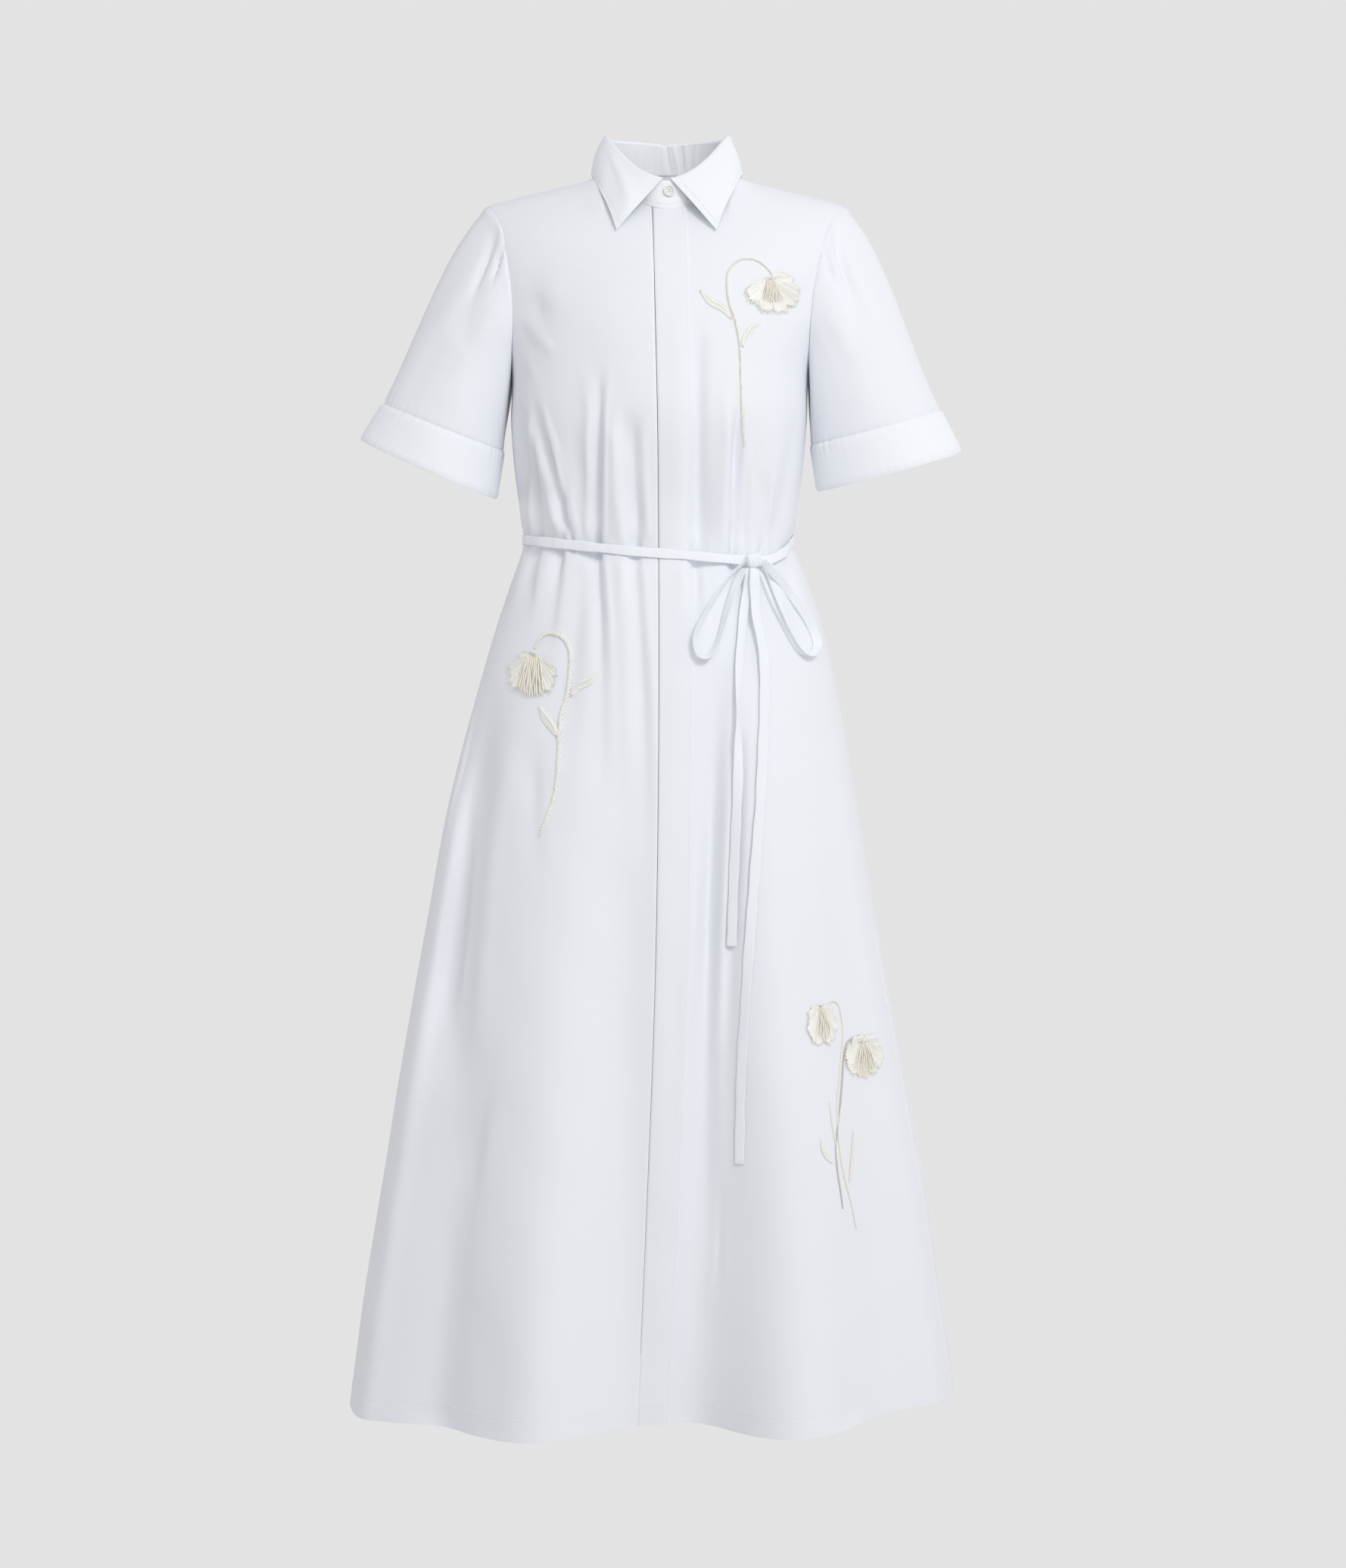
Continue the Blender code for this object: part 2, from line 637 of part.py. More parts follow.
def make_sleeve(name, cuff, front, back):
    """front and back are the armhole edges, from the underarm up."""
    loop = np.array([*front[1:-1], (front[-1] + back[-1]) / 2, *back[-2:0:-1], (front[0] + back[0]) / 2])
    steps = armhole_rows
    rising = np.linspace(-90, 90, steps + 1)[1:]
    falling = np.linspace(90, 270, steps + 1)[1:]
    angle = np.radians(np.concatenate([rising, falling]))
    rows = sleeve_grid(cuff, loop, angle)
    wall("sleeve_" + name, rows, cloth_wall, poplin, around=True, outward=-cuff.side)
    seam = cuff_ring(cuff, angle, False)
    hem = cuff_ring(cuff, angle, True)
    gap = seam_gap / cuff_depth
    band = np.array([seam + (hem - seam) * share for share in (gap, 0.5, 1.0)])
    wall("cuff_" + name, band, cloth_wall, poplin, around=True, outward=-cuff.side)


# ---- Collar ----
# Height of the stand, and the leaf's lower edge, by angle round the neck from the front.
Stand = namedtuple("Stand", "angle height")
stands = (Stand(0, 0.0285), Stand(45, 0.0320), Stand(90, 0.0345), Stand(135, 0.0340), Stand(180, 0.0335))
LeafEdge = namedtuple("LeafEdge", "angle across depth height")
leaf_edges = (
    LeafEdge(3, 0.0495, -0.0800, -0.0595),
    LeafEdge(20, 0.0540, -0.0755, -0.0455),
    LeafEdge(40, 0.0600, -0.0660, -0.0300),
    LeafEdge(62, 0.0680, -0.0490, -0.0115),
    LeafEdge(80, 0.0755, -0.0160, 0.0070),
    LeafEdge(92, 0.0775, 0.0060, 0.0125),
    LeafEdge(112, 0.0735, 0.0360, 0.0125),
    LeafEdge(135, 0.0560, 0.0610, 0.0130),
    LeafEdge(158, 0.0290, 0.0740, 0.0150),
    LeafEdge(180, 0.0, 0.0780, 0.0160),
)
front_end = math.radians(18)
under_end = math.radians(-9)
leaf_end = 3.5
neck_centre = 0.0045


def neck_rim(angle):
    """The neckline's edge at an angle round the neck, 0 at the front and + towards the wearer's left."""
    face = np.where(np.cos(angle) > 0, -1, 1)
    across = neck_half_width * np.abs(np.sin(angle)) * 0.99999
    drop = np.where(face < 0, front_neck_drop, back_neck_drop)
    height = neck_side_height - drop * (1 - (across / neck_half_width) ** 2)
    x = neck_centre + np.sign(np.sin(angle)) * across
    front = yoke(x, height, -1)
    back = yoke(x, height, 1)
    return np.where((face < 0)[..., None], front, back)


def stand_height(angle):
    turned = np.abs((np.degrees(angle) + 180) % 360 - 180)
    return glide(stands, "height", turned)


def stand_top(angle):
    """The top outer edge of the stand, which leans in a little."""
    base = neck_rim(angle)
    lean = np.array([0.93, 0.94, 1.0])
    middle = np.array([neck_centre, 0, 0])
    top = middle + (base - middle) * lean
    top[..., 2] = base[..., 2] + stand_height(angle)
    return top


def ring_outward(angle):
    return np.stack([np.sin(angle), -np.cos(angle), np.zeros_like(angle)], axis=-1)


def make_stand():
    """The stand laps at the front: the wearer's right end lies over the left one."""
    angle = np.linspace(front_end, -2 * math.pi + under_end, 38)
    lap = stand_lap * ease(angle, math.radians(-70), math.radians(-12)) + seam_gap
    low = neck_rim(angle) + np.array([0, 0, stand_gap])
    top = stand_top(angle)
    shrink = 1 - ease(np.degrees(angle), 12, 18.01) * 0.24
    rows = []
    for share in (0, 0.35, 0.7, 1):
        points = low + (top - low) * (share * np.where(share == 1, shrink, 1))[..., None]
        rows.append(points + lap[:, None] * ring_outward(angle))
    wall("collar_stand", np.array(rows), collar_wall, poplin, outward=-1)


def make_leaf():
    half = np.concatenate([np.linspace(leaf_end, 60, 8), np.linspace(60, 180, 12)[1:]])
    degrees = np.concatenate([half, 360 - half[-2::-1]])
    angle = np.radians(degrees)
    crown = stand_top(angle)
    out = ring_outward(angle)
    edge_angle = np.where(degrees > 180, 360 - degrees, degrees)
    side = np.where(degrees > 180, -1, 1)
    lower = np.stack(
        [
            neck_centre + side * glide(leaf_edges, "across", edge_angle),
            glide(leaf_edges, "depth", edge_angle),
            glide(leaf_edges, "height", edge_angle),
        ],
        axis=-1,
    )
    lap = stand_lap * ease(degrees, 290, 348)
    base = crown + lap[:, None] * out
    up = np.array([0, 0, 1.0])
    rows = [
        base - 0.0004 * out + 0.0011 * up,
        base + 0.0004 * out + 0.0031 * up,
        base + 0.0027 * out + 0.0038 * up,
        base + 0.0048 * out + 0.0022 * up,
    ]
    bend = rows[-1]
    for share in (0.25, 0.5, 0.75, 1.0):
        swell = 0.0022 * math.sin(math.pi * share)
        rows.append(bend + (lower - bend) * share + swell * out)
    wall("collar_leaf", np.array(rows), collar_wall, poplin, outward=-1)


# The button's turned profile: share of its radius, and height over its back.
Turn = namedtuple("Turn", "share height")
button_profile = (
    Turn(0.0, 0.0017),
    Turn(0.55, 0.0017),
    Turn(0.72, 0.0025),
    Turn(0.90, 0.0026),
    Turn(1.0, 0.0018),
    Turn(0.92, 0.0004),
    Turn(0.60, 0.0),
    Turn(0.0, 0.0),
)
button_steps = 20
button_height_share = 0.56


def make_button():
    """A turned disc with a raised rim and a dished middle, sewn to the stand's front end."""
    mesh = bmesh.new()
    points = [mesh.verts.new((button_radius * turn.share, 0, turn.height)) for turn in button_profile]
    for first, second in zip(points, points[1:]):
        mesh.edges.new((first, second))
    made = mesh_object("neck_button", mesh, button_white)
    screw = made.modifiers.new("turn", "SCREW")
    screw.steps = button_steps
    screw.render_steps = button_steps
    screw.use_merge_vertices = True
    screw.merge_threshold = 0.00001
    screw.use_normal_calculate = True
    low = neck_rim(np.array([0.0]))[0]
    spot = low + (stand_top(np.array([0.0]))[0] - low) * button_height_share
    made.location = (neck_centre + button_inset, spot[1] - stand_lap - button_gap, spot[2])
    made.rotation_euler = (math.radians(90 - stand_slope), 0, 0)


# ---- Belt ----
def belt_lift(angle):
    """How far the cloth under the belt stands out over the body's ring."""
    degrees = (np.degrees(angle) + 180) % 360 - 180
    return placket_lift * ease(degrees, -40, -8) * (1 - ease(degrees, 20, 32))


def belt_point(angle, offset, lift):
    height = belt_line(angle) + offset
    return ring(angle, height, belt_lift(angle) + lift)


def make_belt_band():
    angle = np.linspace(0, 2 * math.pi, belt_columns + 1)[:-1]
    half = belt_width / 2
    rows = [belt_point(angle, offset, laid_gap + belt_wall) for offset in (-half, half)]
    wall("belt_band", np.array(rows), belt_wall, poplin, around=True)


def make_knot():
    """A soft rounded knot, a cage with subdivision."""
    mesh = bmesh.new()
    bmesh.ops.create_cube(mesh, size=1)
    bmesh.ops.scale(mesh, vec=knot_cage, verts=mesh.verts)
    made = mesh_object("belt_knot", mesh, poplin)
    made.location = knot_place
    made.rotation_euler = (0, math.radians(8), knot_turn)
    smooth = made.modifiers.new("soft", "SUBSURF")
    smooth.levels = 2
    smooth.render_levels = 2


# A tie's route: across and height on the skirt, how far it stands out, and how its face is turned.
Tie = namedtuple("Tie", "x height out turn")
short_tail = (
    Tie(0.0880, -0.3962, 0.0056, 0),
    Tie(0.0850, -0.4150, 0.0046, 2),
    Tie(0.0805, -0.4400, 0.0042, 0),
    Tie(0.0757, -0.4950, 0.0042, 20),
    Tie(0.0744, -0.5450, 0.0062, 62),
    Tie(0.0742, -0.6000, 0.0040, 12),
    Tie(0.0715, -0.6600, 0.0028, -6),
    Tie(0.0690, -0.7200, 0.0026, 0),
    Tie(0.0676, -0.7660, 0.0026, 6),
)
long_tail = (
    Tie(0.0915, -0.3961, 0.0098, 4),
    Tie(0.0915, -0.4150, 0.0094, 8),
    Tie(0.0925, -0.4400, 0.0084, 14),
    Tie(0.0970, -0.4650, 0.0064, 10),
    Tie(0.1005, -0.4900, 0.0048, 4),
    Tie(0.1000, -0.5400, 0.0036, -8),
    Tie(0.0955, -0.6280, 0.0030, 0),
    Tie(0.0870, -0.7340, 0.0028, 6),
    Tie(0.0805, -0.8210, 0.0028, -8),
    Tie(0.0765, -0.8900, 0.0028, 0),
    Tie(0.0748, -0.9750, 0.0028, 8),
)
inner_loop = (
    Tie(0.0823, -0.3888, 0.0103, 68),
    Tie(0.0660, -0.4060, 0.0086, 66),
    Tie(0.0470, -0.4340, 0.0082, 62),
    Tie(0.0330, -0.4620, 0.0080, 60),
    Tie(0.0335, -0.4800, 0.0080, 62),
    Tie(0.0440, -0.4850, 0.0080, 64),
    Tie(0.0550, -0.4690, 0.0080, 64),
    Tie(0.0635, -0.4400, 0.0086, 66),
    Tie(0.0710, -0.4170, 0.0096, 68),
    Tie(0.0806, -0.3968, 0.0118, 70),
)
outer_loop = (
    Tie(0.0999, -0.3885, 0.0100, -68),
    Tie(0.1170, -0.4060, 0.0086, -66),
    Tie(0.1350, -0.4290, 0.0084, -62),
    Tie(0.1500, -0.4530, 0.0088, -60),
    Tie(0.1550, -0.4700, 0.0096, -60),
    Tie(0.1480, -0.4810, 0.0088, -62),
    Tie(0.1370, -0.4760, 0.0082, -64),
    Tie(0.1250, -0.4570, 0.0084, -66),
    Tie(0.1140, -0.4330, 0.0090, -68),
    Tie(0.1006, -0.3975, 0.0112, -70),
)


def through(route, column, count):
    """A smooth run of values through a route's named column."""
    values = np.array([getattr(row, column) for row in route], float)
    stations = np.arange(len(values), dtype=float)
    slopes = np.gradient(values)
    at = np.linspace(0, len(values) - 1, count)
    index = np.clip(at.astype(int), 0, len(values) - 2)
    t = at - index
    start = (1 + 2 * t) * (1 - t) ** 2 * values[index] + t * (1 - t) ** 2 * slopes[index]
    finish = t**2 * (3 - 2 * t) * values[index + 1] - t**2 * (1 - t) * slopes[index + 1]
    return start + finish


def touch(trees, x, height):
    """Where a line from the front meets the cloth: place and outward normal."""
    for tree in trees:
        place, normal, _, _ = tree.ray_cast(Vector((x, -1, height)), Vector((0, 1, 0)))
        if place is not None:
            return np.array(place), np.array(normal)
    raise ValueError("no cloth here")


def make_ribbon(name, route, count, trees, width, thickness):
    x = through(route, "x", count)
    height = through(route, "height", count)
    out = through(route, "out", count)
    turn = np.radians(through(route, "turn", count))
    middle = []
    normals = []
    for a, b, c in zip(x, height, out):
        place, normal = touch(trees, a, b)
        middle.append(place + c * np.array([0, -1, 0]))
        normals.append(normal)
    middle = np.array(middle)
    normals = np.array(normals)
    normals[1:-1] = unit(normals[:-2] + normals[1:-1] + normals[2:])
    run = unit(np.gradient(middle, axis=0))
    side = unit(np.cross(run, normals))
    face = unit(np.cross(side, run))
    side = np.cos(turn)[:, None] * side + np.sin(turn)[:, None] * face
    rows = [middle + side * width * share for share in (-0.5, 0, 0.5)]
    points = np.swapaxes(np.array(rows), 0, 1)
    shift = thickness / 2 * grid_normals(points)
    wall(name, points + shift, thickness, poplin)


# ---- Sprigs ----
# A raised stem or leaf: its line on the cloth, and its breadth along it.
Line = namedtuple("Line", "x height breadth")


def arc_line(centre_x, centre_z, radius, start, end, breadth, count=9):
    """Points along an arc, angles in degrees from +X."""
    turns = np.radians(np.linspace(start, end, count))
    return [Line(centre_x + radius * math.cos(t), centre_z + radius * math.sin(t), breadth) for t in turns]


def make_relief(name, line, count, trees, height, material):
    """A low ridge that follows a line on the cloth, highest along its middle."""
    x = through(line, "x", count)
    z = through(line, "height", count)
    breadth = through(line, "breadth", count)
    place, normal = zip(*(touch(trees, a, b) for a, b in zip(x, z)))
    place = np.array(place)
    normal = np.array(normal)
    run = unit(np.gradient(place, axis=0))
    side = unit(np.cross(run, normal))
    rows = []
    for share, rise in ((-0.5, 0.35), (0, 1.0), (0.5, 0.35)):
        rows.append(place + side * (breadth * share)[:, None] + normal * (laid_gap + height * rise))
    top = np.swapaxes(np.array(rows), 0, 1)
    rows = []
    for share in (-0.5, 0, 0.5):
        rows.append(place + side * (breadth * share)[:, None] + normal * laid_gap)
    base = np.swapaxes(np.array(rows), 0, 1)
    slab(name, top, base, material)


def slab(name, top, base, material, around=False):
    """A closed solid between two grids of the same size."""
    mesh = bmesh.new()
    layers = [[[mesh.verts.new(p) for p in row] for row in layer] for layer in (top, base)]
    rows, columns = top.shape[:2]
    last = columns if around else columns - 1
    for i in range(rows - 1):
        for j in range(last):
            k = (j + 1) % columns
            mesh.faces.new([layers[0][i][j], layers[0][i][k], layers[0][i + 1][k], layers[0][i + 1][j]])
            mesh.faces.new([layers[1][i][j], layers[1][i + 1][j], layers[1][i + 1][k], layers[1][i][k]])
    for j in range(last):
        k = (j + 1) % columns
        for i, one, two in ((0, k, j), (-1, j, k)):
            mesh.faces.new([layers[0][i][one], layers[0][i][two], layers[1][i][two], layers[1][i][one]])
    if not around:
        for i in range(rows - 1):
            for j, one, two in ((0, i, i + 1), (-1, i + 1, i)):
                mesh.faces.new([layers[0][one][j], layers[0][two][j], layers[1][two][j], layers[1][one][j]])
    if mesh.calc_volume(signed=True) < 0:
        bmesh.ops.reverse_faces(mesh, faces=mesh.faces)
    return mesh_object(name, mesh, material)


# A flower head: its middle, half width, length above and below the middle, lean, and petals.
Head = namedtuple("Head", "x height half_width above below lean petals")


def make_head(name, head, trees):
    """Petals as one lobed relief, and over them the bunch of strands as a low dome."""
    columns = head.petals * 4
    turns = np.linspace(0, 2 * math.pi, columns, endpoint=False)
    lobes = 1 + 0.13 * np.cos(head.petals * turns) + 0.04 * np.cos(2 * turns + 1)
    lean = math.radians(head.lean)
    rims = ((0.12, 0.0026), (0.55, 0.0030), (1.0, 0.0012))
    layers = {"top": [], "base": []}
    for share, rise in rims:
        reach = share * (lobes if share == 1.0 else 1 + (lobes - 1) * 0.5)
        across = head.half_width * np.cos(turns) * reach
        down = np.where(np.sin(turns) > 0, head.above, head.below) * np.sin(turns) * reach
        x = head.x + across * math.cos(lean) - down * math.sin(lean)
        z = head.height + across * math.sin(lean) + down * math.cos(lean)
        place, normal = zip(*(touch(trees, a, b) for a, b in zip(x, z)))
        place = np.array(place)
        normal = np.array(normal)
        layers["top"].append(place + normal * rise)
        layers["base"].append(place + normal * petal_gap)
    lid_and_floor(name + "_petals", layers, petal_cream)
    place, normal = touch(trees, head.x, head.height)
    mesh = bmesh.new()
    bmesh.ops.create_uvsphere(mesh, u_segments=10, v_segments=6, radius=1)
    size = (head.half_width * 0.50, centre_half_depth, head.below * 0.62)
    bmesh.ops.scale(mesh, vec=size, verts=mesh.verts)
    made = mesh_object(name + "_centre", mesh, petal_cream)
    made.location = Vector(place + normal * centre_out)
    turn = math.atan2(normal[0], -normal[1])
    tip = -math.atan2(normal[2], math.hypot(normal[0], normal[1]))
    made.rotation_euler = (tip, -lean, turn)


def lid_and_floor(name, layers, material):
    """A lobed plate with a closed middle, from rings of top and base points."""
    mesh = bmesh.new()
    rings = [[mesh.verts.new(p) for p in row] for row in (*layers["top"], *layers["base"][::-1])]
    columns = len(rings[0])
    for upper, lower in zip(rings, rings[1:]):
        for j in range(columns):
            k = (j + 1) % columns
            mesh.faces.new([upper[j], lower[j], lower[k], upper[k]])
    mesh.faces.new(rings[0])
    mesh.faces.new(rings[-1][::-1])
    if mesh.calc_volume(signed=True) < 0:
        bmesh.ops.reverse_faces(mesh, faces=mesh.faces)
    mesh_object(name, mesh, material)


def make_chest_sprig(trees):
    stem = arc_line(0.0855, -0.1100, 0.0215, 35, 178, 0.0026)
    stem += [
        Line(0.0655, -0.1330, 0.0027),
        Line(0.0720, -0.1540, 0.0028),
        Line(0.0765, -0.1800, 0.0027),
        Line(0.0775, -0.2150, 0.0024),
        Line(0.0790, -0.2500, 0.0021),
        Line(0.0815, -0.2770, 0.0018),
    ]
    make_relief("chest_stem", stem, 31, trees, 0.0014, thread_cream)
    outer = [
        Line(0.0690, -0.1520, 0.0018),
        Line(0.0600, -0.1420, 0.0052),
        Line(0.0480, -0.1350, 0.0062),
        Line(0.0370, -0.1225, 0.0014),
    ]
    make_relief("chest_leaf_outer", outer, 9, trees, 0.0014, thread_cream)
    inner = [
        Line(0.0795, -0.1790, 0.0018),
        Line(0.0835, -0.1680, 0.0052),
        Line(0.0900, -0.1590, 0.0050),
        Line(0.0975, -0.1530, 0.0012),
    ]
    make_relief("chest_leaf_inner", inner, 8, trees, 0.0014, thread_cream)
    make_head("chest", Head(0.1080, -0.1180, 0.0235, 0.0150, 0.0185, 12, 5), trees)


def make_hip_sprig(trees):
    stem = arc_line(-0.1085, -0.4790, 0.0190, 140, -5, 0.0034)
    stem += [
        Line(-0.0885, -0.5000, 0.0036),
        Line(-0.0925, -0.5220, 0.0036),
        Line(-0.0990, -0.5450, 0.0037),
        Line(-0.1000, -0.5800, 0.0034),
        Line(-0.1030, -0.6150, 0.0030),
        Line(-0.1110, -0.6400, 0.0027),
        Line(-0.1185, -0.6600, 0.0022),
    ]
    make_relief("hip_stem", stem, 26, trees, 0.0018, thread_cream)
    inner = [
        Line(-0.0890, -0.5230, 0.0020),
        Line(-0.0810, -0.5130, 0.0060),
        Line(-0.0710, -0.5080, 0.0058),
        Line(-0.0620, -0.5020, 0.0016),
    ]
    make_relief("hip_leaf_inner", inner, 8, trees, 0.0018, thread_cream)
    outer = [
        Line(-0.1035, -0.5610, 0.0020),
        Line(-0.1080, -0.5520, 0.0062),
        Line(-0.1140, -0.5430, 0.0058),
        Line(-0.1200, -0.5330, 0.0014),
    ]
    make_relief("hip_leaf_outer", outer, 8, trees, 0.0018, thread_cream)
    make_head("hip", Head(-0.1290, -0.4980, 0.0215, 0.0150, 0.0210, -6, 5), trees)


def make_skirt_sprig(trees):
    upper = [
        Line(0.1745, -0.8310, 0.0018),
        Line(0.1770, -0.8520, 0.0019),
        Line(0.1740, -0.8850, 0.0019),
        Line(0.1705, -0.9200, 0.0019),
        Line(0.1715, -0.9540, 0.0018),
        Line(0.1760, -0.9860, 0.0018),
        Line(0.1840, -1.0180, 0.0016),
        Line(0.1890, -1.0420, 0.0014),
    ]
    make_relief("skirt_stem_upper", upper, 20, trees, 0.0012, thread_cream)
    lower = [
        Line(0.1905, -0.8650, 0.0017),
        Line(0.1830, -0.8640, 0.0018),
        Line(0.1785, -0.8780, 0.0018),
        Line(0.1765, -0.9050, 0.0018),
        Line(0.1765, -0.9300, 0.0016),
    ]
    make_relief("skirt_stem_lower", lower, 12, trees, 0.0012, thread_cream)
    foot = [
        Line(0.1680, -0.9640, 0.0014),
        Line(0.1700, -0.9850, 0.0016),
        Line(0.1730, -1.0050, 0.0015),
        Line(0.1750, -1.0210, 0.0013),
    ]
    make_relief("skirt_stem_foot", foot, 7, trees, 0.0012, thread_cream)
    leaf = [
        Line(0.1655, -0.9760, 0.0014),
        Line(0.1600, -0.9700, 0.0048),
        Line(0.1555, -0.9620, 0.0046),
        Line(0.1540, -0.9520, 0.0012),
    ]
    make_relief("skirt_leaf_outer", leaf, 8, trees, 0.0012, thread_cream)
    leaf = [
        Line(0.1820, -0.9960, 0.0014),
        Line(0.1840, -0.9840, 0.0036),
        Line(0.1860, -0.9650, 0.0034),
        Line(0.1870, -0.9480, 0.0012),
    ]
    make_relief("skirt_leaf_inner", leaf, 8, trees, 0.0012, thread_cream)
    make_head("skirt_upper", Head(0.1570, -0.8480, 0.0150, 0.0180, 0.0190, 8, 5), trees)
    make_head("skirt_lower", Head(0.2000, -0.8830, 0.0175, 0.0120, 0.0190, 4, 5), trees)


# ---- Build ----
for old in list(bpy.data.objects):
    bpy.data.objects.remove(old)
parts = bpy.data.collections.new("shirt_dress")
bpy.context.scene.collection.children.link(parts)
poplin = make_material("poplin", (0.86, 0.87, 0.90), 0.75)
thread_cream = make_material("thread_cream", (0.82, 0.77, 0.66), 0.55)
petal_cream = make_material("petal_cream", (0.88, 0.84, 0.74), 0.70)
button_white = make_material("button_white", (0.88, 0.88, 0.87), 0.25)

right_grid = front_grid(-1, placket_edge, -seam_gap / 2, right_lift)
left_grid = front_grid(1, placket_edge, underlap, no_lift)
rear_grid = back_grid()
shoulder_row = (-1, (0, 1, 0))
front_right = wall("front_right", right_grid, cloth_wall, poplin, outward=-1, square=(shoulder_row,))
front_left = wall("front_left", left_grid, cloth_wall, poplin, outward=1, square=(shoulder_row,))
wall("back", rear_grid, cloth_wall, poplin, outward=1, square=(shoulder_row,))
wall("placket", placket_grid(), cloth_wall, poplin)

right_armhole = right_grid[lower_count - 1:, -1]
left_armhole = left_grid[lower_count - 1:, -1]
make_sleeve("right", cuffs["right"], right_armhole, rear_grid[lower_count - 1:, -1])
make_sleeve("left", cuffs["left"], left_armhole, rear_grid[lower_count - 1:, 0])

make_stand()
make_leaf()
make_button()

bpy.context.view_layer.update()
graph = bpy.context.evaluated_depsgraph_get()
left_cloth = BVHTree.FromObject(front_left, graph)
right_cloth = BVHTree.FromObject(front_right, graph)

knot_spot = belt_point(np.array([knot_angle]), 0.0, laid_gap + belt_wall + knot_out)[0]
knot_place = Vector(knot_spot)
knot_turn = math.radians(33)
make_belt_band()
make_knot()
make_ribbon("belt_tail_short", short_tail, 26, (left_cloth,), belt_width, belt_wall)
make_ribbon("belt_tail_long", long_tail, 30, (left_cloth,), belt_width, belt_wall)
make_ribbon("belt_loop_inner", inner_loop, 26, (left_cloth,), belt_width * 0.9, belt_wall)
make_ribbon("belt_loop_outer", outer_loop, 26, (left_cloth,), belt_width * 0.9, belt_wall)

make_chest_sprig((left_cloth,))
make_hip_sprig((right_cloth,))
make_skirt_sprig((left_cloth,))
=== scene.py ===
import math

import bpy
import numpy as np
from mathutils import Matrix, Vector
from mathutils.bvhtree import BVHTree


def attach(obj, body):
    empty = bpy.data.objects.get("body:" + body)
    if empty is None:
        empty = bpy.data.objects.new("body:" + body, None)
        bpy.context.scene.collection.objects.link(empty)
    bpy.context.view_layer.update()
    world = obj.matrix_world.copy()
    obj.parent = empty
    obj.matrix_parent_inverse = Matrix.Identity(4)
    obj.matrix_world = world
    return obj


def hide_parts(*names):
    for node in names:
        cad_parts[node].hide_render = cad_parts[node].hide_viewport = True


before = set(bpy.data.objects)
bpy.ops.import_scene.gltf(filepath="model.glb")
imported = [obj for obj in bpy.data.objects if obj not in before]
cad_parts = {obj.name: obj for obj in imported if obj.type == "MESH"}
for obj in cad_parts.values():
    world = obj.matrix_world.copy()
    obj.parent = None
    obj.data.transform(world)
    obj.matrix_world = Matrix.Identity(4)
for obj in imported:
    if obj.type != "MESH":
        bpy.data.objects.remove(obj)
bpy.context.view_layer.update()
print("frame loaded")

# camera first, then the cut of the dress, then each piece
camera = {"place": (0.0108, -3.2, -0.609), "lens": 72.2, "sensor": 36}
cameraData = bpy.data.cameras.new("camera")
cameraData.lens = camera["lens"]
cameraData.sensor_width = camera["sensor"]
cameraObject = bpy.data.objects.new("camera", cameraData)
cameraObject.location = camera["place"]
cameraObject.rotation_euler = (math.pi / 2, 0, 0)
bpy.context.scene.collection.objects.link(cameraObject)
bpy.context.scene.camera = cameraObject

# the cut, in metres and degrees
bodyRings = {
    "height": [-1.234, -1.12, -0.997, -0.874, -0.751, -0.627, -0.504, -0.443, -0.41, -0.372,
               -0.335, -0.295, -0.243, -0.19, -0.143, -0.109, -0.075, -0.036, 0.0, 0.03],
    "halfWidth": [0.307, 0.291, 0.272, 0.25, 0.228, 0.206, 0.179, 0.163, 0.152, 0.139,
                  0.1405, 0.1455, 0.1495, 0.1515, 0.166, 0.178, 0.188, 0.198, 0.208, 0.215],
    "front": [0.205, 0.197, 0.186, 0.174, 0.161, 0.147, 0.129, 0.118, 0.11, 0.101,
              0.104, 0.113, 0.123, 0.119, 0.11, 0.098, 0.084, 0.067, 0.061, 0.058],
    "back": [0.222, 0.214, 0.203, 0.192, 0.18, 0.166, 0.144, 0.126, 0.112, 0.096,
             0.094, 0.098, 0.103, 0.107, 0.106, 0.102, 0.095, 0.08, 0.068, 0.062],
    "centre": [-0.009, -0.01, -0.009, -0.011, -0.011, -0.01, -0.005, -0.003, -0.003, -0.004,
               -0.0035, -0.0035, -0.0035, -0.002, -0.001, 0.0, 0.001, 0.003, 0.0045, 0.0045],
    "square": [2.0, 2.0, 2.0, 2.0, 2.0, 2.05, 2.1, 2.15, 2.2, 2.2,
               2.25, 2.3, 2.3, 2.3, 2.3, 2.3, 2.3, 2.3, 2.3, 2.3],
}
armholeCut = {
    "height": [-0.19, -0.184, -0.168, -0.143, -0.109, -0.075, -0.047, -0.0195],
    "reach": [0.1515, 0.1503, 0.1495, 0.1495, 0.152, 0.1575, 0.164, 0.18],
}
shoulderCut = {
    "reach": [0.064, 0.08, 0.111, 0.148, 0.18],
    "height": [0.014, 0.0065, -0.002, -0.0105, -0.0195],
}
placketCut = {
    "height": [-1.235, -1.05, -0.8, -0.6, -0.385, -0.25, -0.12, 0.0],
    "x": [-0.0255, -0.0165, -0.0065, -0.0035, -0.0035, -0.0045, -0.0075, -0.0105],
    "columns": [0, 0.012, 0.03, 0.06, 0.11, 0.2, 0.3, 0.4, 0.5, 0.6, 0.7, 0.8, 0.87, 0.91, 0.95, 0.985, 1],
}
beltDip = {
    "angle": [-180, -120, -80, -40, 0, 30, 42, 62, 80, 120, 180],
    "height": [-0.358, -0.359, -0.362, -0.371, -0.3815, -0.387, -0.388, -0.378, -0.364, -0.359, -0.358],
}
